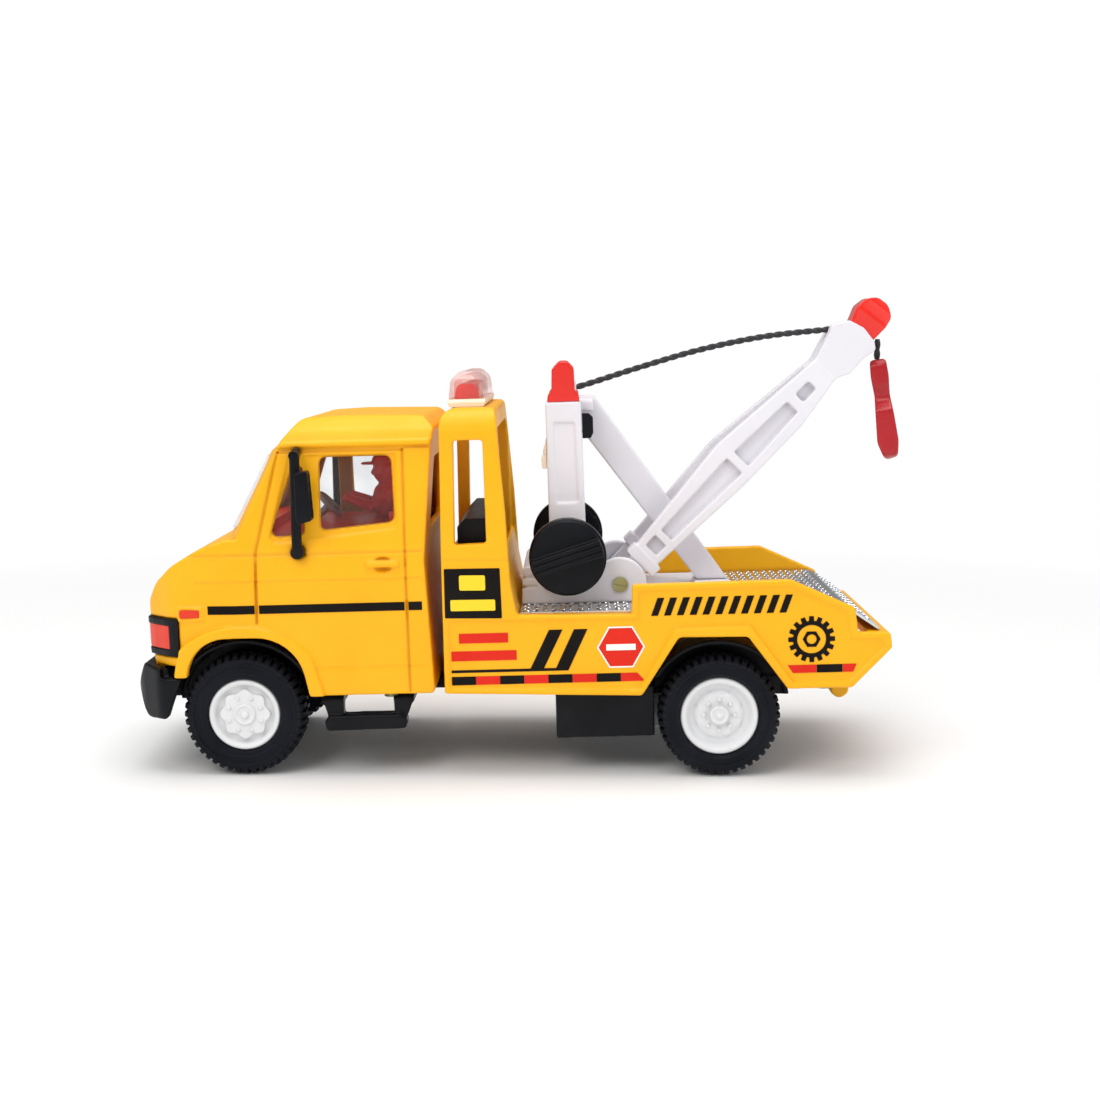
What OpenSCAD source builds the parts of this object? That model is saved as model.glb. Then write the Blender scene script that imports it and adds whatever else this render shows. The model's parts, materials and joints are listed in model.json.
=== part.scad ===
// Toy tow truck, about 1:32, with a pull-back motor, a winch, a tilting
// boom and a hook on a rope. +X is forward, +Y is the truck's left, +Z is up,
// z = 0 is the ground under the tyres.

/* [Stance] */
// Nose-down lean of the body over its level wheels, degrees
body_rake = 1.6; // [1.2:0.1:2.0]
// Moves everything along X so that the origin is under the middle
shift_x = 0.0; // [-3:0.1:3]

/* [Wheels] */
// Front axle position
front_x = 63.2; // [63.0:0.1:63.4]
// Rear axle position
rear_x = -44.4; // [-44.6:0.1:-44.2]
// Outer radius of a tyre, also the height of the axles
tyre_r = 13.8; // [13.7:0.1:13.9]
// Tyre width
tyre_w = 9.5; // [8.5:0.5:9.5]
// Distance from the centre plane to a tyre's outer face
tyre_out = 29.8; // [29.4:0.1:30]
// Radius of an axle rod
axle_r = 1.0; // [0.9:0.05:1.1]

/* [Body] */
// Half width of the cab and the bed
half_w = 31; // [30.5:0.1:31.5]
// Wall thickness of the moulded shells
wall = 1.6; // [1.4:0.1:1.8]
// Height of the bed floor
floor_z = 36.4; // [36.2:0.1:36.6]

/* [Crane] */
// Elevation of the boom above the bed at rest, degrees
boom_angle = 44; // [40:1:46]
// Radius of a winch knob
knob_r = 8.8; // [8.4:0.1:8.9]
// Radius of the rope
rope_r = 0.6; // [0.5:0.05:0.7]
// Radial running clearance of every shaft
run_c = 0.05; // [0.03:0.01:0.08]

/* [Hidden] */
$fn = 48;

yellow = [0.98, 0.72, 0.14];
black = [0.07, 0.08, 0.1];
white = [0.93, 0.92, 0.94];
red = [0.85, 0.15, 0.08];
silver = [0.75, 0.76, 0.78];
steel = [0.6, 0.62, 0.64];

// axle centres, [x, z] over level ground
front_hub = [front_x, tyre_r];
rear_hub = [rear_x, tyre_r];
// the same centres seen from the raked body
function to_body(p) = [
  p[0] * cos(body_rake) - p[1] * sin(body_rake),
  p[0] * sin(body_rake) + p[1] * cos(body_rake)];
front_wheel = to_body(front_hub);
rear_wheel = to_body(rear_hub);

// body screws on the left side, [x, y]
cab_screw = [30, 20];
bed_screws = [[8, 18], [-70, 18]];
pilot_r = 0.9;

// ---- outlines: lists of [x, y, corner radius], anticlockwise ----
function unit(v) = v / norm(v);
function flat(p) = [p[0], p[1]];
function before(list, i) = flat(list[(i + len(list) - 1) % len(list)]);
function after(list, i) = flat(list[(i + 1) % len(list)]);

// arc that rounds the corner at b between a and c
function corner(a, b, c, radius, steps) =
  let (
    to_a = unit(a - b),
    to_c = unit(c - b),
    half = acos(to_a * to_c) / 2,
    setback = radius / tan(half),
    centre = b + unit(to_a + to_c) * radius / sin(half),
    start = b + to_a * setback - centre,
    end = b + to_c * setback - centre,
    start_angle = atan2(start[1], start[0]),
    turn = atan2(end[1], end[0]) - start_angle,
    sweep = turn > 180 ? turn - 360 : turn < -180 ? turn + 360 : turn)
  [for (i = [0:steps])
    let (angle = start_angle + sweep * i / steps) centre + radius * [cos(angle), sin(angle)]];

// points of an outline with its corners rounded
function rounded(list, steps = 4) = [for (i = [0:len(list) - 1])
  let (p = list[i])
  each (p[2] > 0 ? corner(before(list, i), flat(p), after(list, i), p[2], steps) : [flat(p)])];

function left_normal(a, b) = let (d = unit(b - a)) [-d[1], d[0]];

// the same outline moved inwards by a depth
function inset(list, depth) = [for (i = [0:len(list) - 1])
  let (
    p = flat(list[i]),
    normal_in = left_normal(before(list, i), p),
    normal_out = left_normal(p, after(list, i)),
    middle = unit(normal_in + normal_out),
    reach = depth / (middle * normal_in))
  [p[0] + middle[0] * reach, p[1] + middle[1] * reach, max(0.2, list[i][2] - depth)]];

// right half of an outline completed by its mirror image
function mirrored(half) =
  concat(half, [for (i = [len(half) - 1:-1:0]) [-half[i][0], half[i][1], half[i][2]]]);

function rect(x0, x1, y0, y1, radius = 0) =
  [[x0, y0, radius], [x1, y0, radius], [x1, y1, radius], [x0, y1, radius]];

module outline(list, steps = 4) { polygon(rounded(list, steps)); }

// ---- placing and extruding ----
module place() { translate([shift_x, 0, 0]) children(); }
module raked() { place() rotate([0, body_rake, 0]) children(); }
module both() {
  children();
  mirror([0, 1, 0]) children();
}
// profile in X and Z, from y0 to y1
module side(y0, y1) {
  translate([0, y1, 0]) rotate([90, 0, 0]) linear_extrude(y1 - y0) children();
}
// profile in Y and Z, from x0 to x1
module front(x0, x1) {
  translate([x0, 0, 0]) rotate([90, 0, 90]) linear_extrude(x1 - x0) children();
}
// profile from z0 to z1, its first axis across the truck, its second forward
module plan(z0, z1) {
  rotate([0, 0, -90]) translate([0, 0, z0]) linear_extrude(z1 - z0) children();
}
// cylinder along Y, centred on [x, z], from y0 to y1
module rod(at, radius, y0, y1) {
  translate([at[0], y1, at[1]]) rotate([90, 0, 0]) cylinder(r = radius, h = y1 - y0);
}
// upright cylinder on [x, y], standing at z
module post(at, z, radius, height) {
  translate([at[0], at[1], z]) cylinder(r = radius, h = height);
}
module box(x0, x1, y0, y1, z0, z1) {
  translate([x0, y0, z0]) cube([x1 - x0, y1 - y0, z1 - z0]);
}

// ---- cab ----
// side view [x, z, radius]
cab_side = [
  [19.2, 19.7, 0.8], [62, 19.7, 0], [62, 24.7, 0], [83.2, 24.7, 1], [84.6, 33, 6],
  [84.5, 41.6, 3.5], [82.2, 45.8, 6], [77.8, 49.8, 10], [71.6, 53.4, 12], [66.0, 55.4, 1],
  [55.6, 74.6, 2], [52.6, 76.4, 0.8], [47.6, 82.0, 3.2], [38, 82.4, 12], [20.2, 82.0, 2.2],
  [17.6, 79.2, 1.2], [18.4, 75.6, 0.4], [20.6, 50, 0]];
// front view [y, z, radius]
cab_front = mirrored([
  [half_w - 0.9, 15, 0], [half_w - 0.5, 36, 4], [half_w - 0.2, 46, 6], [half_w - 0.6, 52.5, 6],
  [half_w - 3.0, 75.4, 0], [half_w - 2.4, 76.0, 0.3], [half_w - 3.6, 79.2, 4],
  [half_w - 9, 83.0, 8]]);
// top view [across, forward, radius]
cab_plan = mirrored([
  [half_w, 10, 0], [half_w, 60, 30], [half_w - 2.0, 78, 8], [half_w - 9, 85.6, 8]]);
// windscreen curve in its own plane, wrapping round to the pillars
screen_wrap = mirrored([[36, -70, 0], [36, -7.0, 0], [28.6, -2.3, 6], [19, 0, 16]]);
screen_lean = 28.37;
screen_half = 24;
// window openings [x, z, radius]
side_window = [[27.0, 58.8, 1.4], [43.4, 57.3, 0.8], [43.4, 73.4, 1.4], [27.4, 73.4, 1.4]];
quarter_window = [[47.2, 56.4, 0.8], [54.9, 56.0, 1.2], [49.6, 71.4, 0.8], [47.2, 71.4, 0.5]];
sill_z = 55.6;
// mirror fixings on the cab side, [x, z]
mirror_foot = [48.5, 52.7];
mirror_peg = [48.2, 75.0];

module on_screen() {
  translate([66.4, 0, 54.6]) rotate([0, -screen_lean, 0]) rotate([0, 0, -90]) children();
}
// solid cab, its skin moved inwards by a depth
module cab_volume(depth) {
  intersection() {
    union() {
      box(0, 100, -40, 40, 10, sill_z);
      on_screen() translate([0, 0, -30]) linear_extrude(90) outline(inset(screen_wrap, depth));
    }
    side(-40, 40) outline(inset(cab_side, depth));
    front(0, 100) outline(inset(cab_front, depth));
    plan(10, 90) outline(inset(cab_plan, depth));
  }
}
// windscreen opening, narrowed all round by a gap
module screen_cut(gap) {
  front(50.5, 80) outline(mirrored([[23.5 - gap, 57.4 + gap, 2], [21.2 - gap, 73.4 - gap, 3]]));
}
// wheel arch lips, open below the arch line
module cab_arch_lips() {
  both() intersection() {
    rod(front_wheel - [0, 0.4], 21.0, half_w - 2.6, half_w + 0.2);
    union() {
      box(42, 90, 0, 40, 24.7, 60);
      box(42, front_wheel[0], 0, 40, 19.7, 60);
    }
    side(0, 40) outline([[44.0, 19.7, 0], [78.8, 19.7, 0], [75.8, 36.0, 9], [48.6, 36.0, 12]], 8);
  }
}
// grooves in front of, behind and above the door
module door_seams() {
  both() side(half_w - 0.75, half_w + 5) {
    polygon([[58.4, 36.4], [58.9, 36.4], [58.5, 52.4], [52.7, 74.8], [52.2, 74.8], [58.0, 52.4]]);
    outline(rect(24.6, 25.0, 20, 74.8));
    outline(rect(24.6, 52.6, 74.5, 74.9));
  }
}
module cab_shell() color(yellow) raked() difference() {
  union() {
    difference() {
      cab_volume(0);
      cab_volume(wall);
      // open underneath, behind the nose
      box(21.4, 83, -half_w + 2.2, half_w - 2.2, 15, 27);
      both() side(half_w - 8, half_w + 5) outline(side_window);
      both() side(half_w - 8, half_w + 5) outline(quarter_window);
      screen_cut(0);
      // rear window
      front(10, 26) outline(mirrored([[17, 56, 2], [16, 72, 2]]));
    }
    cab_arch_lips();
    // screw posts, each webbed to its side wall
    both() post(cab_screw, 21, 2.4, 34);
    both() box(29.4, 30.6, 21, half_w - 1.2, 24, 49.6);
  }
  // seat of the nose panel
  difference() {
    box(76.6, 90, -half_w - 1, half_w + 1, 29.2, 38.0);
    cab_volume(0.8);
  }
  // wheel openings
  both() side(half_w - 12, half_w + 5)
    outline([[46.4, 15, 0], [76.4, 15, 0], [73.6, 33.4, 9], [50.2, 33.4, 11]], 8);
  door_seams();
  both() post(cab_screw, 20, pilot_r, 14);
  // sockets for the mirror
  both() rod(mirror_foot, 1.6, half_w - 1.2, half_w + 3);
  both() rod(mirror_peg, 0.8, half_w - 6, half_w + 3);
  // drip moulding shadow line
  both() side(half_w - 3.2, half_w + 4)
    polygon([[19, 75.2], [54.2, 75.2], [54.0, 75.6], [19, 75.6]]);
}
module cab_glazing() color([0.8, 0.9, 0.95, 0.4]) raked() {
  // one clear moulding lining the inside of the glasshouse
  difference() {
    intersection() {
      cab_volume(wall + 0.05);
      box(22.6, 80, -40, 40, sill_z, 75.6);
    }
    cab_volume(wall + 0.95);
    both() post(cab_screw, 20, 2.5, 60);
    screen_cut(1.6);
  }
  // the windscreen bulges out of its opening
  intersection() {
    screen_cut(0.12);
    on_screen() linear_extrude(30) polygon(concat(
      [for (y = [screen_half:-3:-screen_half]) [y, 1.75 - 2.2 * pow(y / screen_half, 2)]],
      [for (y = [-screen_half:3:screen_half]) [y, 0.85 - 3.5 * pow(y / screen_half, 2)]]));
  }
}
module marker_lenses() color([0.95, 0.3, 0.1]) raked() difference() {
  both() side(half_w - 2.6, half_w - 0.85) outline(rect(71.5, 76.0, 38.2, 40.0, 0.3));
  cab_volume(0);
}
module cab_stripe() color(black) raked() difference() {
  intersection() {
    cab_volume(-0.1);
    // lengths between the door seams, [x0, x1]
    union() for (span = [[21.4, 24.4], [25.3, 57.9], [58.9, 69.6]])
      box(span[0], span[1], -40, 40, 38.9, 40.8);
  }
  cab_volume(-0.02);
  box(0, 90, -20, 20, 0, 90);
}

// ---- nose panel, its lamps and the bumper ----
panel_depth = 0.75; // depth of the panel's back under the cab skin
lamp_x = 79.0;
lamp_y = 14.6; // inner end of a lamp well
lamp_z = [30.9, 36.3];
lamp_gap = 0.05;
bumper_x = 0.9; // forward shift of the bumper outlines
slot_pitch = 1.7;

// slice of the cab's nose between two heights
module nose_band(depth, z0, z1) {
  intersection() {
    cab_volume(depth);
    box(76.7, 90, -40, 40, z0, z1);
  }
}
module front_grille() color(black) raked() difference() {
  nose_band(-0.5, 29.3, 37.9);
  cab_volume(panel_depth);
  both() box(lamp_x, 90, lamp_y, 40, lamp_z[0], lamp_z[1]);
  for (i = [0:3])
    front(83.4, 90) outline(rect(-12, 12, 30.5 + i * slot_pitch, 31.4 + i * slot_pitch, 0.3));
}
// pair of lenses filling the lamp wells from y0 to y1
module nose_lenses(y0, y1) {
  raked() both() difference() {
    intersection() {
      nose_band(-0.3, lamp_z[0] + lamp_gap, lamp_z[1] - lamp_gap);
      box(lamp_x + lamp_gap, 90, y0, y1, 20, 50);
    }
    cab_volume(panel_depth);
  }
}
module headlamp_lenses() color([0.85, 0.87, 0.9]) nose_lenses(lamp_y + lamp_gap, 22.6);
module indicator_lenses() color([0.9, 0.25, 0.08]) nose_lenses(22.65, 40);
module front_bumper() color(black) raked() difference() {
  translate([bumper_x, 0, 0]) intersection() {
    side(-40, 40) outline([
      [79.2, 15.2, 0.6], [84.4, 15.0, 1.2], [85.6, 16.8, 1], [87.2, 21.8, 0.8],
      [86.6, 23.6, 0.8], [84.9, 27.6, 0.8], [74.9, 25.6, 0.6]]);
    plan(10, 40)
      outline(mirrored([[half_w - 0.4, 70, 0], [half_w - 0.4, 80, 5], [half_w - 8, 87.4, 8]]));
  }
  // hollow behind
  translate([bumper_x, 0, 0]) plan(5, 25.0)
    outline(mirrored([[half_w - 2.8, 60, 0], [half_w - 2.8, 78, 4], [half_w - 10, 84.4, 7]]));
  cab_volume(-0.1);
  both() box(66, 81.2, 27.8, 33, 24.5, 40);
}

// ---- interior, driver and mirrors ----
driver_at = [33.6, -14]; // [x, y]
stalk_at = [51.1, -14]; // foot of the steering wheel, [x, y]

module interior_tub() color(red) raked() difference() {
  union() {
    intersection() {
      cab_volume(wall + 1.05);
      union() {
        box(22.9, 66, -40, 40, 53.6, 55.4);
        // bench and dashboard
        box(22.9, 28.6, -25, 25, 55.3, 60.4);
        box(57.6, 63, -24, 24, 55.3, 57.6);
      }
    }
    both() post(cab_screw, 50, 3.6, 5.4);
  }
  both() post(cab_screw, 40, 2.5, 30);
  // sockets for the driver and the wheel's stalk
  post(driver_at, 50, 3.0, 20);
  post(stalk_at, 50, 1.05, 20);
}
module steering_wheel() color([0.45, 0.43, 0.45]) raked() {
  post(stalk_at, 54, 1.0, 2.8);
  translate([47.6, stalk_at[1], 58.9]) rotate([0, -48, 0]) {
    rotate_extrude($fn = 36) translate([3.5, 0]) circle(r = 0.6, $fn = 16);
    post([0, 0], -0.5, 1.1, 1.0);
    for (angle = [0, 120, 240])
      rotate([0, 0, angle]) translate([0.5, -0.5, -0.4]) cube([2.9, 1.0, 0.8]);
    post([0, 0], -4.2, 0.9, 4.0);
  }
}
// a plain bust with a peaked cap and two arms
module driver_figure() color(red) raked() translate(concat(driver_at, 0)) {
  post([0, 0], 53.8, 2.95, 2);
  translate([0, 0, 55.45]) scale([0.8, 1, 1]) rotate_extrude($fn = 40)
    polygon([[0, 0], [5.4, 0], [5.8, 3], [5.4, 6.0], [2.2, 8.2], [1.8, 10.4], [0, 10.4]]);
  translate([0, 0, 67.3]) sphere(r = 3.5, $fn = 32);
  translate([0, 0, 68.4]) cylinder(r1 = 3.6, r2 = 3.0, h = 3.6);
  translate([0, -2.8, 68.5]) cube([6.0, 5.6, 0.8]);
  both() translate([0.6, 5.2, 59.5]) rotate([0, 72, 0]) cylinder(r = 1.5, h = 8.5);
}
// left mirror: upright on two fixings, with a head hollowed from behind
module mirror_arm() {
  rod(mirror_foot, 1.55, half_w - 1.1, half_w + 1.6);
  translate([mirror_foot[0], half_w + 1.2, mirror_foot[1]]) rotate([0, -1, 0])
    cylinder(r = 1.15, h = 21.6);
  rod([mirror_peg[0], 74.2], 1.15, half_w - 0.8, half_w + 2.2);
  rod(mirror_peg, 0.75, half_w - 3.6, half_w + 0.6);
  difference() {
    side(half_w + 0.4, half_w + 4.6) outline([
      [44.4, 60, 0.6], [47.4, 59.2, 0.6], [47.9, 60, 0.4], [47.9, 70.2, 0.5], [45.0, 71.2, 0.6]]);
    side(half_w + 1.0, half_w + 4.0)
      outline([[44.0, 60.6, 0.3], [44.9, 60.6, 0.3], [45.2, 70.4, 0.3], [44.0, 70.4, 0.3]]);
  }
}
module mirror_left() color(black) raked() mirror_arm();
module mirror_right() color(black) raked() mirror([0, 1, 0]) mirror_arm();

// ---- bed with the roll-over gantry ----
gantry_sill = 48.6;
gantry_top = 83.4;
// side view [x, z, radius]
bed_side = [
  [17.0, 19.65, 0.4], [16.8, 50.2, 0.4], [16.3, gantry_top, 3.5], [3.9, gantry_top, 1.2],
  [2.2, 60, 0], [1.2, 37.2, 0], [-25.4, 36.6, 0], [-25.6, 43.3, 0.6], [-61.0, 43.5, 2],
  [-75.2, 36.8, 0.8], [-75.8, 31.3, 0], [-83.0, 31.1, 0.5], [-83.4, 27.7, 0.8],
  [-74.4, 18.8, 1], [-59.6, 18.9, 0.4], [-50.5, 30.4, 0.8], [-36.7, 30.6, 0.8],
  [-28.0, 18.1, 0.4]];
// inside of the bed under its floor
bed_hollow = [
  [15.4, 15, 0], [15.4, 34.8, 0], [-72.8, 34.8, 0], [-80.2, 29.6, 0], [-81.4, 28.6, 0],
  [-81.4, 15, 0]];
// sunk field of the side panels
bed_panel = [
  [-26.8, 19.8, 0.6], [-34.9, 33.2, 0.8], [-52.0, 33.4, 0.8], [-61.4, 20.2, 0.6],
  [-73.8, 20.4, 1], [-81.6, 28.0, 0.6], [-81.2, 29.6, 0.4], [-74.2, 29.8, 0.8],
  [-73.4, 35.8, 0.8], [-60.8, 41.9, 1.2], [-27.2, 41.7, 0.6], [-27.0, 35.4, 0.6],
  [15.4, 36.0, 0.6], [15.6, 20.8, 0.6]];

// rear wheel arch, widened by a growth
module arch_outline(growth) {
  outline([
    [-27.2 + growth, 18, 0], [-35.8 + growth * 0.5, 31.2 + growth, 1],
    [-51.2 - growth * 0.5, 31.0 + growth, 1], [-60.6 - growth, 18, 0]]);
}
module bed_shell() {
  difference() {
    side(-half_w, half_w) outline(bed_side);
    // space between the side panels above the floor
    side(-half_w + 2.6, half_w - 2.6) polygon([
      [3.2, floor_z], [3.2, 90], [30, 90], [30, 100], [-90, 100], [-90, 31.2], [-80.9, 31.2],
      [-73.5, floor_z]]);
    side(-half_w + 2.2, half_w - 2.2) outline(bed_hollow);
    // gantry opening front to back
    front(3.0, 30) outline(mirrored([[half_w - 3.4, gantry_sill, 1], [half_w - 4.4, 78.6, 3]]));
    // pocket under the shelf, open to the front
    front(5, 30) outline(rect(-half_w + 2.2, half_w - 2.2, 36.4, 47));
    // side windows of the gantry
    side(-40, 40)
      outline([[6.6, 53.4, 0.6], [13.7, 53.2, 0.6], [13.3, 76.4, 0.6], [6.8, 76.4, 0.6]]);
    // gantry side panels lean inwards
    both() front(-1, 30)
      polygon([[half_w, 50], [half_w + 5, 50], [half_w + 5, 90], [half_w - 1.8, 90]]);
    // upper corners of the gantry
    both() front(-1, 30) polygon(concat(
      [[half_w + 5, 90], [half_w - 9, 90]],
      [for (angle = [90:-10:0]) [half_w - 6.4 + 5 * cos(angle), 78.5 + 5 * sin(angle)]]));
    // between the upper beam and the floor behind
    box(-90, 3.2, -half_w + 2.6, half_w - 2.6, floor_z, 90);
  }
}
module bed_body() color(yellow) raked() difference() {
  union() {
    bed_shell();
    // bulkhead in front of the deck
    side(-half_w, half_w) outline([
      [-0.3, 36.4, 0], [3.4, 36.4, 0], [3.6, 50.4, 0.4], [2.6, 50.4, 0.6], [0.4, 38, 0.5]]);
    // raised border of the wheel arch
    both() side(half_w - 0.7, half_w + 0.35) difference() {
      arch_outline(2.9);
      arch_outline(-0.2);
      translate([-100, 10]) square([200, 8.9]);
    }
    // screw posts
    both() for (at = bed_screws) post(at, 20, 2.6, 15.5);
    // towing tab under the tail
    side(-3.5, 3.5) outline([
      [-73.4, 30.6, 0], [-78.6, 30.6, 0], [-78.2, 11.6, 1.6], [-76, 9.8, 1.8], [-73.8, 11.6, 1.6]]);
  }
  // rear wheel openings
  both() side(half_w - 16, half_w + 5) arch_outline(0);
  // panel recess, leaving a raised rim
  both() side(half_w - 0.5, half_w + 2) outline(inset(bed_panel, -0.01));
  both() for (at = bed_screws) post(at, 19, pilot_r, 12);
}
module deck_plate() color(silver) raked() side(-half_w + 2.7, half_w - 2.7) polygon([
  [-0.4, floor_z + 0.05], [-0.4, floor_z + 0.85], [-73.6, floor_z + 0.85], [-81.0, 31.95],
  [-81.0, 31.35], [-80.8, 31.33], [-73.45, floor_z + 0.06]]);
toolbox_z = gantry_sill + 0.06;
module gantry_toolbox() color(black) raked() difference() {
  side(-24, 24) outline([
    [5.0, toolbox_z, 0.5], [13.4, toolbox_z, 0.5], [13.4, 56.6, 0.6], [11.6, 58.4, 0.4],
    [6.4, 58.4, 1.0], [5.0, 56.8, 0.6]]);
  // two sunk panels on the front face
  both() front(13.0, 14) outline(rect(2, 22, 50.4, 55.6, 0.4));
}

// ---- light bar on the gantry ----
lens_z = 85.25; // underside of the insert and the cover

module lightbar_base() color([0.95, 0.9, 0.8]) raked() intersection() {
  front(6.2, 14.8)
    outline(mirrored([[22, gantry_top + 0.05, 0], [22, 84.6, 0.5], [21.2, 85.2, 0.4]]));
  side(-30, 30) outline([
    [6.6, gantry_top, 0.6], [14.4, gantry_top, 0.6], [14.8, 84.6, 0.3], [14.6, 85.3, 0.2],
    [6.4, 85.3, 0.2], [6.2, 84.6, 0.3]]);
}
module lightbar_insert() color(red) raked() both() for (y = [1.0, 10.2])
  translate([0, y, 0]) side(0, 8.8)
    outline([[7.7, lens_z, 0], [13.3, lens_z, 0], [12.8, 88.6, 1.6], [8.2, 88.6, 1.6]]);
module lightbar_cover() color([0.9, 0.35, 0.3, 0.45]) raked() difference() {
  intersection() {
    side(-21.4, 21.4) outline([
      [6.5, lens_z, 0.2], [14.5, lens_z, 0.2], [14.0, 89.6, 2.4], [12.0, 91.4, 1.6],
      [9.0, 91.4, 1.6], [7.0, 89.6, 2.4]], 5);
    front(0, 20) outline(mirrored([[21.4, 85.2, 0.2], [20.4, 91.6, 3]]), 5);
  }
  // hollow, open below
  intersection() {
    side(-20.6, 20.6) outline([
      [7.3, 80, 0], [13.7, 80, 0], [13.2, 89.1, 1.6], [11.6, 90.5, 1], [9.4, 90.5, 1],
      [7.8, 89.1, 1.6]], 5);
    front(0, 20) outline(mirrored([[20.6, 80, 0.2], [19.6, 90.6, 2.4]]), 5);
  }
}

// ---- chassis ----
pan_top = 19.4;
pan_z = 17.4;
thin_pan_z = 18.4; // thin where the body's lower edge must hide it
// floor pan pieces [x0, x1, half width, underside z]
floor_pan = [
  [-73, -7.6, 18.6, pan_z], [-7.7, 24.3, 18.6, thin_pan_z], [24.2, 27.9, 28.0, pan_z],
  [27.8, 40.3, 22.8, thin_pan_z], [40.2, 45.2, 28.0, pan_z], [45.1, 79.5, 18.6, pan_z],
  [-30.2, -7.8, 26.6, pan_z], [-73, -66.4, 22, pan_z]];

module side_tank() {
  difference() {
    box(-30.2, -7.8, 11, 26.6, 7.8, 18);
    box(-28.8, -9.2, 12.4, 25.2, 12, 30);
  }
}
// running board on two hangers
module running_board() {
  side(24.6, 29.6) outline([
    [26.2, 11.6, 0.6], [44.2, 11.4, 0.8], [44.6, 13.6, 0.6], [43.6, 14.8, 0.4],
    [27.0, 14.9, 0.4], [25.8, 13.6, 0.6]]);
  side(25.4, 28.6) polygon([[24.2, 18.6], [28.9, 18.6], [28.7, 14.4], [25.8, 14.4]]);
  side(25.4, 28.6)
    polygon([[40.2, 18.6], [45.2, 18.6], [44.4, 16.6], [43.8, 14.4], [40.3, 14.4]]);
}
// wheel housing: a drum open outwards and cut off at bottom_z
module housing(hub, radius, y1, bottom_z) {
  difference() {
    rod(hub, radius, 17.2, y1);
    rod(hub, radius - 1, 18.4, 40);
    box(hub[0] - 20, hub[0] + 20, 0, 40, -10, bottom_z);
    children();
  }
}
module chassis() color(black) difference() {
  union() {
    raked() {
      for (p = floor_pan) box(p[0], p[1], -p[2], p[2], p[3], pan_top);
      both() side_tank();
      both() running_board();
      // front cross member that meets the bumper
      box(79.4, 84.2, -15.5, 15.5, pan_z, 24.4);
      // axle carriers
      both() {
        box(front_wheel[0] - 4, front_wheel[0] + 4, 15, 18.6, 11, 19);
        box(rear_wheel[0] - 4, rear_wheel[0] + 4, 14.4, 18.6, 9.4, 19);
      }
    }
    place() both() {
      housing(front_hub, 17.0, 27.5, 17.2) box(75.2, 90, 18.7, 40, 0, 26);
      housing(rear_hub, 17.2, 27.6, 16.6) box(rear_x - 20, rear_x + 20, 18.7, 40, -10, 22.4);
    }
  }
  // axle bearings
  place() for (hub = [front_hub, rear_hub]) rod(hub, axle_r + run_c, -40, 40);
  // motor well
  raked() box(-52.5, -14.5, -9.2, 9.2, 0, 40);
  // screw holes
  raked() both() {
    post(cab_screw, 10, 1.1, 20);
    for (at = bed_screws) post(at, 10, 1.1, 20);
  }
}
// screws with cross-slotted heads, [place, z offset]
module body_screws() color(steel) raked() both()
  for (s = [[cab_screw, 1], [bed_screws[0], 1], [bed_screws[1], 0]])
    translate(concat(s[0], s[1])) {
      post([0, 0], 18.2, 0.85, 9);
      difference() {
        post([0, 0], 16.3, 1.9, 1.05);
        translate([-0.3, -1.2, 16]) cube([0.6, 2.4, 0.8]);
        translate([-1.2, -0.3, 16]) cube([2.4, 0.6, 0.8]);
      }
      post([0, 0], 17.3, 0.85, 1);
    }

// ---- printed graphics: thin films on both sides of the bed ----
dash_pitch = 5.42;
dash_w = 5.38;
emblem_at = [-22.8, 29.3]; // hexagon, [x, z]

// film at a level measured from the body side: -0.48 lies on the sunk panel
module film(level = -0.48) { both() side(half_w + level, half_w + level + 0.08) children(); }
module slant(x, z0, z1, width, lean) {
  polygon([[x, z0], [x + width, z0], [x + width - lean, z1], [x - lean, z1]]);
}
// one dash of the lower row, the last one cut at a slant
module dash(i) {
  translate([15.3 - i * dash_pitch, 0])
    polygon([[0, 21.5], [-dash_w, 21.5], [i > 6 ? -3.7 : -dash_w, 23.4], [0, 23.4]]);
}
module hexagon(radius) { circle(r = radius, $fn = 6); }
// toothed ring with a nut in its middle
module ring_gear(at, radius) {
  translate(at) {
    difference() {
      union() {
        circle(r = radius * 0.8);
        for (i = [0:15])
          rotate(i * 22.5) polygon([[-0.75, 0], [0.75, 0], [0.5, radius], [-0.5, radius]]);
      }
      circle(r = radius * 0.62);
    }
    difference() {
      hexagon(2.0);
      circle(r = 1.1);
    }
  }
}
module graphics_black() color(black) raked() {
  // field on the gantry foot
  film(0.02) outline([[3.6, 36.6, 0.2], [16.3, 36.9, 0.2], [16.2, 48.0, 0.2], [3.8, 47.9, 0.2]]);
  film() {
    // thin line running into two slanted bars
    outline(rect(-9.6, 15.3, 24.3, 24.9));
    slant(-5.3, 24.6, 33.6, 3.0, 4.5);
    slant(-10.9, 24.3, 33.6, 3.0, 4.5);
    for (i = [0:2:7]) dash(i);
    // slanted warning bars along the rear panel
    for (i = [0:10]) slant(-31.2 - i * 2.86, 36.2, 40.2, 1.5, 1.5);
    ring_gear([-65.4, 30.0], 5.2);
    outline(rect(-72.2, -66.5, 22.4, 24.2));
  }
}
module graphics_red() color(red) raked() film() {
  outline(rect(2.4, 13.4, 31.0, 33.2));
  outline(rect(0.6, 15.2, 27.0, 29.2));
  for (i = [1:2:7]) dash(i);
  translate(emblem_at) hexagon(4.95);
  polygon([[-61.2, 22.4], [-66.4, 22.4], [-66.4, 24.2], [-60.0, 24.2]]);
  polygon([[-72.3, 22.4], [-74.6, 22.4], [-75.4, 24.2], [-72.3, 24.2]]);
}
module graphics_white() color(white) raked() {
  // bar over the hexagon and the rim round it
  film(-0.39) outline(rect(-26.1, -19.5, 28.6, 30.0));
  film() translate(emblem_at) difference() {
    hexagon(5.4);
    hexagon(5.0);
  }
}
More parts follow.
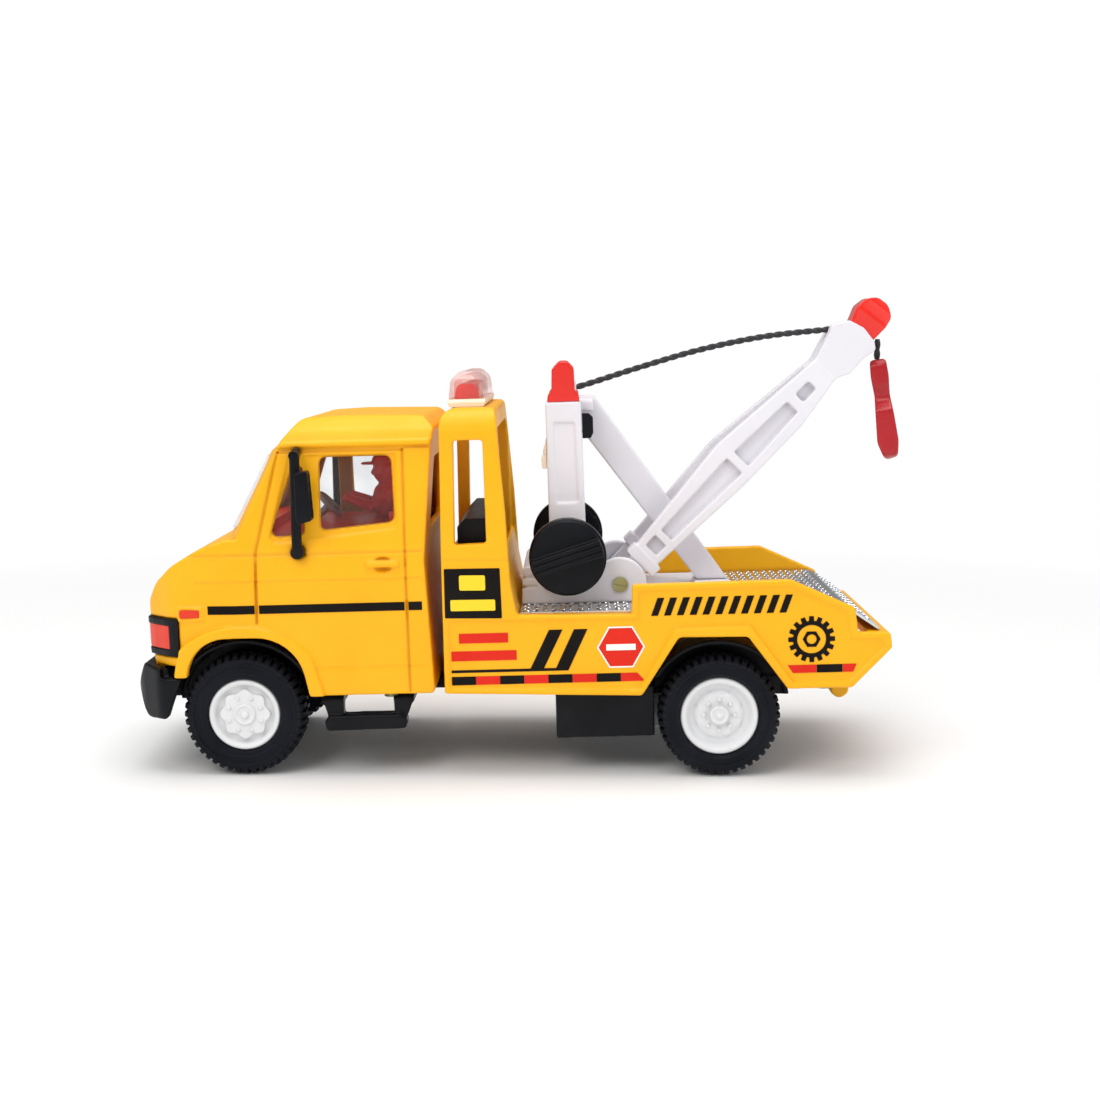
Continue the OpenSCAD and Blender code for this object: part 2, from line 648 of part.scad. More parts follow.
module graphics_yellow() color(yellow) raked() film(0.11) {
  outline([[7.1, 43.0, 0.4], [12.9, 43.1, 0.4], [12.9, 46.5, 0.4], [7.1, 46.4, 0.4]]);
  outline([[5.0, 38.4, 0.3], [15.0, 38.5, 0.3], [15.0, 41.0, 0.3], [5.0, 40.9, 0.3]]);
}

// ---- wheels: axle, rims and tyres ----
front_rim_r = 8.2;
rear_rim_r = 8.9;
tyre_fit = 0.02; // radial gap between rim and tyre
rim_holes = 8;

module axle(hub) place() rod(hub, axle_r, -27.5, 27.5);
module front_axle() color(steel) axle(front_hub);
module rear_axle() color(steel) axle(rear_hub);
// puts a part turned about Z on both wheels, its +Z pointing outwards
module at_wheels(x, y) { place() both() translate([x, y, tyre_r]) rotate([-90, 0, 0]) children(); }
// lip_w is the width of the rim's edge, boss the height of the hub's face
module rim_body(radius, lip_w, boss) {
  rotate_extrude($fn = 64) polygon([
    [0, -6.6], [2.6, -6.6], [2.6, -2.6], [radius - 1.2, -2.6], [radius - 1.2, -8.4],
    [radius, -8.4], [radius, 0.0], [radius - 0.5, 0.4], [radius - lip_w + 0.6, 0.4],
    [radius - lip_w, 0], [radius - lip_w - 0.5, boss - 1.2], [3.3, boss - 1.2],
    [3.0, boss - 0.4], [1.6, boss], [0, boss]]);
}
module rims(x, radius, lip_w, boss) color(white) at_wheels(x, tyre_out - 1.2) difference() {
  rim_body(radius, lip_w, boss);
  for (i = [0:rim_holes - 1])
    rotate([0, 0, i * 360 / rim_holes]) translate([radius - lip_w - 1.9, 0, -8])
      cylinder(r = 0.55, h = 20, $fn = 16);
  // blind bore for the axle
  post([0, 0], -20, axle_r, 18.92);
}
module front_rims() rims(front_x, front_rim_r, lip_w = 1.4, boss = 0.6);
module rear_rims() rims(rear_x, rear_rim_r, lip_w = 3.0, boss = -0.4);
module tyres(x, inner_r) color(black) at_wheels(x, tyre_out) rotate_extrude($fn = 72) polygon([
  [inner_r, -8.6], [inner_r + 0.5, -9.5], [11.4, -9.5], [12.9, -8.8], [tyre_r, -7.6],
  [tyre_r, -1.9], [12.9, -0.6], [11.4, 0], [inner_r + 0.4, -0.3], [inner_r, -0.8]]);
module front_tyres() tyres(front_x, front_rim_r + tyre_fit);
module rear_tyres() tyres(rear_x, rear_rim_r + tyre_fit);

// ---- pull-back motor ----
axle_module = 0.5; // tooth size between axle and idler
spring_module = 0.6; // tooth size between idler and spring gear
axle_teeth = 12;
pinion_teeth = 8;
wheel_teeth = 24; // both large gears
axle_mesh = 22; // direction from the axle to the idler, degrees
spring_mesh = -8; // direction from the idler to the spring gear
half_turn = 180 + 180 / wheel_teeth; // faces a tooth gap back at the driving gear
motor_pin_r = 0.8;
// centre distances, with a little backlash
axle_reach = axle_module * (axle_teeth + wheel_teeth) / 2 + 0.06;
spring_reach = spring_module * (pinion_teeth + wheel_teeth) / 2 + 0.08;
idler_at = rear_hub + axle_reach * [cos(axle_mesh), sin(axle_mesh)];
spring_at = idler_at + spring_reach * [cos(spring_mesh), sin(spring_mesh)];

// tapered tooth centred on an angle, [radius, angle]
function tooth(size, teeth, angle) =
  let (
    pitch_r = size * teeth / 2,
    tip_r = pitch_r + 0.85 * size,
    root_r = pitch_r - 1.15 * size,
    pitch = 360 / teeth)
  [[root_r, angle - pitch * 0.29], [pitch_r, angle - pitch * 0.215], [tip_r, angle - pitch * 0.10],
   [tip_r, angle + pitch * 0.10], [pitch_r, angle + pitch * 0.215],
   [root_r, angle + pitch * 0.29]];
module gear(size, teeth, bore_r, height, phase) difference() {
  linear_extrude(height) polygon([
    for (i = [0:teeth - 1]) for (p = tooth(size, teeth, phase + i * 360 / teeth))
      [p[0] * cos(p[1]), p[0] * sin(p[1])]]);
  post([0, 0], -1, bore_r, height + 2);
}
// put a part lying in its own X-Y plane onto an axis along Y, at side position y;
// its angles then count from +X towards +Z
module on_axis(at, y) { place() translate([at[0], y, at[1]]) rotate([90, 0, 0]) children(); }
module axle_gear() color(steel) on_axis(rear_hub, 5.4)
  gear(axle_module, axle_teeth, axle_r, 3.2, axle_mesh);
module idler_gear() color(white) {
  on_axis(idler_at, 5.0)
    gear(axle_module, wheel_teeth, motor_pin_r + run_c, 2.4, axle_mesh + half_turn);
  on_axis(idler_at, 2.6)
    gear(spring_module, pinion_teeth, motor_pin_r + run_c, 5.0, spring_mesh);
}
module spring_gear() color(white) {
  on_axis(spring_at, 2.2)
    gear(spring_module, wheel_teeth, motor_pin_r + run_c, 2.2, spring_mesh + half_turn);
  // cup that holds the mainspring
  on_axis(spring_at, 0) difference() {
    cylinder(r = 6.4, h = 6.2);
    post([0, 0], 0.9, 5.7, 6);
    post([0, 0], -1, motor_pin_r + run_c, 12);
  }
}
spring_sweep = 1440; // four turns
function spiral(t, offset) =
  let (radius = 1.6 + 3.5 * t / spring_sweep + offset) [radius * cos(t), radius * sin(t)];
module mainspring() color(steel) on_axis(spring_at, -1.2) linear_extrude(4.4) polygon(concat(
  [for (t = [0:15:spring_sweep]) spiral(t, 0)],
  [for (t = [spring_sweep:-15:0]) spiral(t, 0.22)]));
module motor_pin(at) color(steel) place() rod(at, motor_pin_r, -8.2, 8.2);
module idler_pin() motor_pin(idler_at);
module spring_pin() motor_pin(spring_at);
// left half of the housing
module motor_half() difference() {
  union() {
    side(0.02, 8.6) outline([
      [-50.5, 7.9, 1], [-18.6, 6.2, 1.5], [-16.6, 8, 1], [-16.6, 25.6, 1], [-41, 25.6, 1],
      [-50.5, 21, 1]]);
    // feet that stand on the floor pan
    rotate([0, body_rake, 0]) {
      box(-55.5, -46, 0.02, 12, pan_top + 0.05, 20.6);
      box(-20, -11.6, 0.02, 12, pan_top + 0.05, 20.6);
    }
  }
  side(-1, 7.4) outline([
    [-49.3, 9.0, 0.6], [-18.8, 7.2, 0.8], [-17.6, 9.2, 0.6], [-17.6, 24.6, 0.6],
    [-40.6, 24.6, 0.6], [-49.3, 20.2, 0.6]]);
  rod(rear_hub, axle_r + run_c, -10, 10);
  rod(idler_at, motor_pin_r, -10, 10);
  rod(spring_at, motor_pin_r, -10, 10);
}
module motor_housing_left() color(steel) place() motor_half();
module motor_housing_right() color(steel) place() mirror([0, 1, 0]) motor_half();

// ---- crane base and mast ----
pivot = [-23.3, 41.4]; // boom pins, [x, z]
winch = [-11.4, 49.0]; // winch shaft, [x, z]
deck_top = floor_z + 0.9;
mast_top = 83.7;
boom_pin_r = 1.25;
winch_shaft_r = 1.6;
groove_zs = [41.4, 43.6];

module crane_base() color(white) raked() difference() {
  union() {
    side(-17, 17) outline([
      [-50.2, deck_top, 0], [-0.5, deck_top, 0], [-0.5, deck_top + 1.6, 0],
      [-50.2, deck_top + 1.6, 0.4]]);
    // side cheeks with round ears for the boom
    both() side(14.6, 17) {
      outline([
        [-29.4, deck_top, 0], [-0.5, deck_top, 0], [-0.9, 46.0, 1.2], [-18, 46.4, 1],
        [-29.4, 43, 1]]);
      translate(pivot) circle(r = 6.2);
    }
    // front block
    side(-14.8, 14.8) polygon([[-0.5, deck_top], [-0.9, 45.4], [-5.2, 45.4], [-5.2, deck_top]]);
    // pad that takes the foot of the stay
    box(-49.8, -41.4, -4.6, 4.6, deck_top, deck_top + 2.6);
  }
  // grooves across the front block and the cheeks
  for (z = groove_zs) box(-1.4, 0.5, -20, 20, z - 0.35, z + 0.35);
  both() for (z = groove_zs) box(-4.2, 0.5, 16.6, 20, z - 0.35, z + 0.35);
  // pockets for the mast posts
  both() box(-16.1, -7.3, 9.9, 14.65, 30, 60);
  // boom pin holes
  both() rod(pivot, 1.3, 10, 20);
  // flat underside that lies on the deck
  box(-60, 5, -20, 20, 20, deck_top);
}
module crane_mast() color(white) raked() difference() {
  union() {
    // posts
    both() side(10, 14.55) outline([
      [-16.0, deck_top + 0.02, 0], [-7.4, deck_top + 0.02, 0], [-7.1, mast_top, 0.4],
      [-15.3, mast_top, 0.4]]);
    // lower cross beam
    box(-15.2, -7.2, -10.2, 10.2, 76.4, 80.4);
    // stay from the mast head down to the base
    difference() {
      side(-2.6, 2.6)
        polygon([[-15.0, 84.6], [-18.4, 84.6], [-49.5, 39.95], [-42.2, 39.95], [-15.0, 77.0]]);
      box(-60, -10, -5, 5, 30, deck_top + 2.62);
    }
    // upper cross beam
    box(-18.2, -14.6, -10.2, 10.2, 81.2, mast_top);
    // hoop that guides the rope
    box(-14.4, -11.2, -2.2, 2.2, 80.3, 88.2);
  }
  translate([-20, 0, 86.2]) rotate([0, 90, 0]) cylinder(r = 1.0, h = 12);
  // hole in the lower beam for the rope
  post([-9.2, 0], 70, 1.0, 12);
  // sunk panels on the outer faces
  both() side(14.1, 20)
    outline([[-14.2, 60.4, 0.6], [-9.0, 60.4, 0.6], [-8.8, 79, 0.6], [-13.8, 79, 0.6]]);
  // winch bearings
  both() rod(winch, winch_shaft_r + run_c, 5, 20);
}
// domed lamp caps on rectangular feet
module mast_beacons() color(red) raked() both() translate([-11.3, 12.3, mast_top + 0.02])
  side(-2.1, 2.1) outline([
    [-3.75, 0, 0], [3.75, 0, 0], [3.55, 1.6, 0.3], [2.7, 2.6, 0.6], [2.55, 7.4, 1.0],
    [0.9, 9.1, 1.0], [-1.0, 9.1, 1.0], [-2.6, 7.4, 1.0], [-2.7, 2.6, 0.6],
    [-3.55, 1.6, 0.3]], 5);
module front_work_lamps() color([0.9, 0.85, 0.75]) raked() both() difference() {
  side(10.8, 13.8) outline([
    [-7.08, 68.4, 0], [-6.2, 68.4, 0.3], [-5.9, 69, 0.3], [-5.9, 71.2, 0.3], [-6.5, 71.6, 0.2],
    [-6.5, 73.6, 0.3], [-7.08, 74.2, 0]]);
  // shallow groove across the lens
  side(10.0, 14.4) outline(rect(-6.6, -5, 71.6, 71.9));
}
module rear_work_lamps() color(black) raked() both() side(10.6, 14.0) outline([
  [-15.5, 75.2, 0], [-15.5, 80.9, 0], [-17.0, 80.9, 0.4], [-18.0, 80.0, 0.5],
  [-18.0, 76.4, 0.4], [-17.4, 75.2, 0.6]]);
module boom_pins() color([0.75, 0.7, 0.45]) raked() both() difference() {
  union() {
    rod(pivot, boom_pin_r, 9.6, 17.2);
    rod(pivot, 1.75, 17.02, 17.7);
  }
  // slot in the head
  side(17.4, 19) translate(pivot)
    polygon([[-1.3, -0.45], [1.3, 0.05], [1.3, 0.45], [-1.3, -0.05]]);
}

// ---- winch ----
spool_r = 3.0;
knob_turn = 17; // turn of the grip bar, degrees
wound_r = 3.6; // radius of the rope's centre line on the spool

module on_winch() { raked() translate([winch[0], 0, winch[1]]) children(); }
module winch_shaft() color(steel) raked() rod(winch, winch_shaft_r, -24, 24);
module winch_knobs() color(black) on_winch() both() difference() {
  union() {
    rod([0, 0], 3.6, 17.6, 21);
    rod([0, 0], knob_r - 1.0, 20.0, 21);
    rod([0, 0], knob_r, 21, 24.6);
    rod([0, 0], knob_r - 0.5, 24.6, 25.2);
    // grip bar across the face
    intersection() {
      rod([0, 0], knob_r - 0.6, 20, 28.4);
      rotate([0, knob_turn, 0]) box(-9, 9, 20, 28.2, -1.9, 1.9);
    }
  }
  for (z = [-0.75, 0.75])
    rotate([0, knob_turn, 0]) box(-9, 9, 27.7, 29, z - 0.22, z + 0.22);
  rod([0, 0], winch_shaft_r, 10, 24.02);
}
module winch_spool() color(black) on_winch() difference() {
  union() {
    rod([0, 0], spool_r, -9.6, 9.6);
    both() rod([0, 0], 6.0, 8.4, 9.6);
  }
  rod([0, 0], winch_shaft_r, -12, 12);
}
// one layer of rope on the spool
module wound_rope() color(black) on_winch() rotate([90, 0, 0]) difference() {
  union() {
    post([0, 0], -8.3, wound_r, 16.6);
    for (i = [0:12])
      translate([0, 0, -7.6 + i * 1.27]) rotate_extrude($fn = 32)
        translate([wound_r, 0]) circle(r = rope_r, $fn = 13);
  }
  post([0, 0], -20, spool_r, 40);
}
// straight length of rope between two points [x, z] of the centre plane
module rope_run(start, end) {
  run = end - start;
  translate([start[0], 0, start[1]]) rotate([0, atan2(run[0], run[1]), 0])
    cylinder(r = rope_r, h = norm(run), $fn = 20);
}
module rope_fall() color(black) raked() {
  rope_run([-7.7, 52.2], [-9.2, 80.7]);
  rope_run([-9.2, 80.7], [-10.8, 86.1]);
}

// ---- boom: u runs along it from the pivot, v is square to it ----
module boomed() {
  raked() translate([pivot[0], 0, pivot[1]]) rotate([0, boom_angle, 0]) children();
}
// outline from [u, v, radius] points: u runs along -X
function along_boom(list) = [for (p = list) [-p[0], p[1], len(p) > 2 ? p[2] : 0]];
arm_side = [
  [8.4, -3.5, 0.4], [8.4, 3.2, 0.4], [38.6, 6.0, 20], [69.6, 3.3, 0], [69.6, -3.2, 0],
  [56, -5.2, 12], [36, -5.2, 30]];
// sunk panels on an arm's outer face
arm_panels = [
  [[10.2, -1.8, 0.3], [13.4, -1.9, 0.3], [13.4, 1.8, 0.3], [10.2, 1.6, 0.3]],
  [[15.2, -1.9, 0.3], [38.0, -2.9, 0.4], [38.0, 2.2, 0.4], [15.2, 1.5, 0.3]],
  [[40.2, -2.9, 0.4], [57.4, -2.3, 0.4], [57.4, 1.2, 0.4], [40.2, 2.0, 0.4]],
  [[60.0, -1.7, 0.7], [64.4, -1.6, 0.7], [64.4, 1.0, 0.7], [60.0, 1.1, 0.7]]];
boom_head = [
  [66, -2.9, 0], [69.4, -3.4, 0.3], [72, -4.7, 0.8], [77, -4.6, 0.6], [80.2, -5.2, 1],
  [81.4, -3.6, 1], [81.9, 0.4, 1], [80.8, 4.2, 1.4], [77.2, 6.3, 1.2], [75.4, 5.4, 0.8],
  [69.4, 3.5, 0.4], [66, 2.9, 0]];
rope_slot = [
  [60, 2.4], [75.6, 2.4], [78.2, -0.4], [79.6, -8], [85, -8], [85, 0], [82, 1.6],
  [78.2, 7.4], [60, 8.4]];

module arm() {
  difference() {
    side(9.6, 12.8) outline(along_boom(arm_side));
    side(10.8, 14) for (panel = arm_panels) outline(along_boom(panel));
  }
}
module boom_frame() color(white) boomed() difference() {
  union() {
    both() {
      // lugs on the pins, then collars
      rod([0, 0], 2.4, 10.6, 14.2);
      side(10.6, 14.2) polygon([[0, -2.4], [0, 2.4], [-7, 2.6], [-7, -2.6]]);
      side(9.2, 14.4) outline(rect(-9.0, -6.3, -4.5, 3.9));
      // each arm leans in towards the head
      translate([-9, 11, 0]) rotate([0, 0, 7.2]) translate([9, -11, 0]) arm();
    }
    // cross piece that ties the arms at the foot
    box(-8.8, -6.6, -9.4, 9.4, -3.6, -0.6);
    side(-5.2, 5.2) outline(along_boom(boom_head));
  }
  // pin bores
  both() rod([0, 0], boom_pin_r + run_c, 5, 20);
  side(-1.3, 1.3) outline(along_boom(rope_slot));
}
module tip_lamp() color(red) boomed()
  translate([-78.4, 0, -0.2]) rotate([0, -90 + 8, 0]) both() intersection() {
    side(0, 3.9) outline([
      [-3.6, 2.7, 0], [3.2, 2.7, 0], [4.3, 7.0, 1.5], [3.6, 9.6, 2], [1.4, 11.6, 2],
      [-1.6, 11.6, 2], [-3.9, 9.4, 2], [-4.1, 6.6, 1.5]], 5);
    front(-10, 10) outline([
      [-5, 0, 0], [3.2, 0, 0], [3.7, 7, 2], [3.0, 10.4, 2], [1.0, 11.9, 1.5],
      [-5, 11.9, 0]], 5);
  }

// ---- rope beyond the mast, and the hook ----
span_start = [-15.1, 86.7]; // at the mast head, [x, z]
span_end = [-75.6, 98.2]; // at the boom head
span_bow = 2.232; // upward bow at mid span
rope_tip = [-83.2, 96.9]; // where the rope leaves the boom head
hook_tilt = 8.6;
hook_turn = -10.6;
hook_side = [
  [-1.9, -1, 0.8], [-2.1, -5, 1], [-1.8, -9.6, 1.5], [-2.2, -14, 2], [-2.5, -20.4, 3],
  [-1.9, -24.2, 1], [1.2, -25, 1.2], [2.5, -20.4, 3], [2.1, -14, 2], [1.8, -9.6, 1.5],
  [2.1, -5, 1], [1.9, -1, 0.8]];
hook_front = [
  [-1.8, 0, 0.8], [-3.4, -2.4, 1.6], [-3.4, -7, 1.6], [-1.9, -10, 1.5], [-5.6, -13.4, 3],
  [-6.6, -18, 3], [-5, -23.6, 3.4], [0, -25.4, 3], [5, -23.6, 3.4], [6.6, -18, 3],
  [5.4, -15.4, 0.9], [3.2, -15.6, 0.5], [3.2, -12, 1], [1.9, -10, 1.5], [3.4, -7, 1.6],
  [3.4, -2.4, 1.6], [1.8, 0, 0.8]];

function span_point(t) =
  span_start + (span_end - span_start) * t + [0, span_bow * 4 * t * (1 - t)];
module rope_span() color(black) raked() side(-rope_r, rope_r) polygon(concat(
  [for (i = [0:12]) span_point(i / 12) + [0, rope_r]],
  [for (i = [12:-1:0]) span_point(i / 12) - [0, rope_r]]));
// the rope end and the hook hang free of the body's rake
module rope_drop() color(black) place() translate([rope_tip[0], 0, rope_tip[1] - 3.6])
  cylinder(r = rope_r, h = 5.0, $fn = 20);
module hook() color([0.8, 0.12, 0.08]) place() translate([rope_tip[0], 0, rope_tip[1] - 2.4])
  rotate([0, 0, hook_turn]) rotate([0, hook_tilt, 0]) mirror([0, 1, 0]) difference() {
    intersection() {
      side(-5, 5) outline(hook_side);
      front(-5, 5) difference() {
        outline(hook_front);
        // eye of the hook and its mouth
        translate([0, -18.4]) circle(r = 3.0);
        polygon([[0.6, -16.2], [2.6, -18.4], [4.0, -13.0], [2.4, -12.4]]);
      }
    }
    // socket for the rope
    translate([0, 0, -1.8]) cylinder(r = 0.9, h = 4, $fn = 20);
  }

chassis();
front_bumper();
cab_shell();
cab_glazing();
front_grille();
headlamp_lenses();
indicator_lenses();
marker_lenses();
interior_tub();
steering_wheel();
driver_figure();
mirror_left();
mirror_right();
bed_body();
deck_plate();
gantry_toolbox();
lightbar_base();
lightbar_insert();
lightbar_cover();
crane_base();
crane_mast();
mast_beacons();
front_work_lamps();
rear_work_lamps();
boom_pins();
body_screws();
graphics_black();
graphics_red();
graphics_white();
graphics_yellow();
cab_stripe();
front_axle();
front_rims();
front_tyres();
rear_axle();
rear_rims();
rear_tyres();
axle_gear();
motor_housing_left();
motor_housing_right();
idler_gear();
idler_pin();
spring_gear();
spring_pin();
mainspring();
winch_shaft();
winch_knobs();
winch_spool();
wound_rope();
rope_fall();
boom_frame();
tip_lamp();
rope_span();
rope_drop();
hook();
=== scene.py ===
# Toy tow truck: nose towards +X, its left side towards +Y, wheels on the floor at z = 0.
# Shapes are drawn in millimetres, in one of two frames:
#   LEVEL  square to the floor, for the wheels and the hook line
#   BODY   pitched slightly nose-down, for everything the body carries
import json
from math import acos, cos, hypot, pi, radians, sin, tan
import bmesh
import bpy
import numpy as np
from mathutils import Matrix, Vector


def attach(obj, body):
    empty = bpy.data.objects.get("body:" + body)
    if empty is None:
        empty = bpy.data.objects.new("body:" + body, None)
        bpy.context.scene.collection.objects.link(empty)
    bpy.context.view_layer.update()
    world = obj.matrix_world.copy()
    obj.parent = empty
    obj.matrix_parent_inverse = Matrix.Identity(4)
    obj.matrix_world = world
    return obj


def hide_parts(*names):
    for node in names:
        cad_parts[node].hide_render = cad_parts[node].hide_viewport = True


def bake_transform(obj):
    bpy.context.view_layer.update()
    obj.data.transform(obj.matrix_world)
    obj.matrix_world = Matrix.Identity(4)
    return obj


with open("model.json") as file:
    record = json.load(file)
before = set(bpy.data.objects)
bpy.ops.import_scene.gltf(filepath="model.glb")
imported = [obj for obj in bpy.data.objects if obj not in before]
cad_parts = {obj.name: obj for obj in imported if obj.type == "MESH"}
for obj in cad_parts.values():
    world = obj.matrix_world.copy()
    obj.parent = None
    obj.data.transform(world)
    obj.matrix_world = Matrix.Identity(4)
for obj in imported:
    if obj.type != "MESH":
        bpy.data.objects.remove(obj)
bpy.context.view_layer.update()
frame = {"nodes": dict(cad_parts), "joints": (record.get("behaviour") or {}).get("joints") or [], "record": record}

NODES = frame["nodes"]
MM = 0.001                       # metres in a millimetre
FRONT_X, REAR_X = 63.2, -44.4    # axles
RAKE = radians(1.6)              # nose-down pitch of the body

axle = next(j for j in frame["joints"] if j["name"] == "front_axle_spin")["pos_m"]
SHIFT = axle[0] * 1000 - FRONT_X
AXLE_Z = axle[2] * 1000          # also the outer radius of the tyres
LEVEL = Matrix.Diagonal((MM, MM, MM, 1)) @ Matrix.Translation((SHIFT, 0, 0))
BODY = LEVEL @ Matrix.Rotation(RAKE, 4, "Y")
TO_BODY = np.array(BODY.inverted())
coll = bpy.context.scene.collection


# ---------------------------------------------------------------- shader graphs
class Graph:
    """Short ways to add and link nodes in one node tree."""
    def __init__(self, tree):
        self.tree = tree

    def feed(self, socket, value):
        """Links a socket, or sets a plain value; colours are given as RGB."""
        if isinstance(value, bpy.types.NodeSocket):
            self.tree.links.new(value, socket)
        elif socket.type == "RGBA":
            socket.default_value = (*value, 1)
        else:
            socket.default_value = value

    def node(self, kind, inputs=None, **props):
        node = self.tree.nodes.new(kind)
        for key, value in props.items():
            setattr(node, key, value)
        for key, value in (inputs or {}).items():
            self.feed(node.inputs[key], value)
        return node

    def coord(self):
        return self.node("ShaderNodeTexCoord").outputs["Object"]

    def noise(self, coord, scale, detail, rough):
        inputs = {"Vector": coord, "Scale": scale, "Detail": detail, "Roughness": rough}
        return self.node("ShaderNodeTexNoise", inputs).outputs["Fac"]

    def ramp(self, fac, low, high):
        """Colour from low to high over the middle of a noise's range."""
        node = self.node("ShaderNodeValToRGB", {"Fac": fac})
        for stop, place, colour in zip(node.color_ramp.elements, (0.3, 0.7), (low, high)):
            stop.position = place
            stop.color = (*colour, 1)
        return node.outputs["Color"]

    def mix(self, fac, under, over):
        inputs = {0: fac, 6: under, 7: over}
        # the sockets exist for every data type, 6 and 7 are the colours
        return self.node("ShaderNodeMix", inputs, data_type="RGBA").outputs[2]

    def math(self, operation, first, second):
        return self.node("ShaderNodeMath", {0: first, 1: second}, operation=operation).outputs[0]

    def remap(self, value, span, to=(0.0, 1.0)):
        inputs = {0: value, 1: span[0], 2: span[1], 3: to[0], 4: to[1]}
        return self.node("ShaderNodeMapRange", inputs).outputs[0]

    def rounded(self, radius):
        """Normal with edges softened over a radius in mm."""
        return self.node("ShaderNodeBevel", {"Radius": radius * MM}, samples=4).outputs["Normal"]

    def bump(self, height, strength, distance, **normal):
        inputs = {"Strength": strength, "Distance": distance, "Height": height, **normal}
        return self.node("ShaderNodeBump", inputs).outputs["Normal"]

    def principled(self, inputs):
        return self.node("ShaderNodeBsdfPrincipled", inputs).outputs[0]

    def blend(self, fac, first, second):
        return self.node("ShaderNodeMixShader", {0: fac, 1: first, 2: second}).outputs[0]

    def surface(self, shader):
        self.node("ShaderNodeOutputMaterial", {"Surface": shader})


def start_material(name):
    mat = bpy.data.materials.new(name)
    mat.use_nodes = True
    mat.node_tree.nodes.clear()
    return mat, Graph(mat.node_tree)


def srgb(*rgb):
    """Linear colour from 0-255 sRGB."""
    parts = [c / 255 for c in rgb]
    return tuple(c / 12.92 if c <= 0.04045 else ((c + 0.055) / 1.055) ** 2.4 for c in parts)


def toned(colour, gain, lift=0.0):
    return tuple(min(1, c * gain + lift) for c in colour)


# ---------------------------------------------------------------- materials
def moulded(name, rgb, var=0.06, rough=0.36, rough_var=0.12, bump=0.12, grain=2600,
            edge=0.25, wear_and_highlight=0.35, spec=0.3, coat=0.0, painted_crease_shade=0.0):
    """Injection-moulded plastic: fine grain, faint mottling, soft edges painted paler, partly as rubbed wear and
    partly as a painted highlight.

    var: colour variation, grain: scale of the fine noise, edge: softening radius in mm,
    wear_and_highlight: paleness of edges, partly rubbed wear and partly a painted highlight, painted_crease_shade:
    painted shade that darkens the creases.
    """
    base = srgb(*rgb)
    mat, g = start_material(name)
    coord = g.coord()
    mottle = g.noise(coord, scale=70, detail=2, rough=0.5)
    patches = g.noise(coord, scale=420, detail=4, rough=0.6)
    fine = g.noise(coord, scale=grain, detail=3, rough=0.6)
    colour = g.ramp(mottle, low=toned(base, 1 - var), high=toned(base, 1 + var * 0.7, 0.004))
    colour = g.mix(g.remap(patches, span=(0.35, 0.75), to=(0.0, 0.35)), colour,
                   toned(base, 1 - var * 1.1))

    # worn edges with a painted highlight: paler where the softened normal leaves the true one
    soft = g.rounded(edge)
    true = g.node("ShaderNodeNewGeometry").outputs["Normal"]
    facing = g.node("ShaderNodeVectorMath", {0: soft, 1: true}, operation="DOT_PRODUCT")
    worn_and_highlit = g.remap(facing.outputs["Value"], span=(0.997, 0.90))
    worn_and_highlit = g.math("MULTIPLY", worn_and_highlit, g.remap(patches, span=(0.35, 0.62), to=(0.15, 1.0)))
    colour = g.mix(g.math("MULTIPLY", worn_and_highlit, wear_and_highlight * 0.45), colour, toned(base, 0.75, 0.22))

    # painted shade: creases darkened towards a deeper, browner copy of the base colour wherever the AO node finds
    # close surfaces
    if painted_crease_shade:
        open_sky = g.node("ShaderNodeAmbientOcclusion", {"Distance": 0.0014}, samples=6)
        warm = base[2] < base[0] * 0.5
        gains = (0.52, 0.34, 0.25) if warm else (0.5, 0.5, 0.5)
        crease_shade_colour = tuple(c * gain for c, gain in zip(base, gains))
        shade = g.remap(open_sky.outputs["AO"], span=(0.88, 0.42), to=(0.0, painted_crease_shade))
        colour = g.mix(shade, colour, crease_shade_colour)

    gloss = g.remap(patches, span=(0.3, 0.75), to=(rough - rough_var / 2, rough + rough_var / 2))
    gloss = g.math("ADD", gloss, g.math("MULTIPLY", worn_and_highlit, 0.08))
    height = g.math("ADD", g.math("MULTIPLY", fine, 0.6), g.math("MULTIPLY", patches, 0.8))
    g.surface(g.principled({
        "Base Color": colour,
        "Roughness": gloss,
        "Normal": g.bump(height, strength=bump, distance=0.00006, Normal=soft),
        "Specular IOR Level": spec,
        "Coat Weight": coat,
        "Coat Roughness": 0.12,
    }))
    return mat


def clear(name, tint, haze):
    """Thin clear plastic: mostly see-through, glancing reflections, faint moulding ripple."""
    mat, g = start_material(name)
    coord = g.coord()
    ripple = g.noise(coord, scale=140, detail=2, rough=0.5)
    scratches = g.noise(coord, scale=1500, detail=4, rough=0.7)
    normal = g.bump(ripple, strength=0.25, distance=0.0002)
    gloss = g.principled({"Base Color": tint, "Roughness": 0.03, "Normal": normal})
    through = g.ramp(ripple, low=toned(tint, 1.02), high=toned(tint, 0.93))
    glass = g.node("ShaderNodeBsdfTransparent", {"Color": through}).outputs[0]
    glance = g.node("ShaderNodeFresnel", {"IOR": 1.45, "Normal": normal}).outputs[0]
    fac = g.math("ADD", g.math("MULTIPLY", glance, 0.38),
                 g.remap(scratches, span=(0.4, 0.8), to=(haze * 0.6, haze * 1.5)))
    g.surface(g.blend(fac, glass, gloss))
    return mat


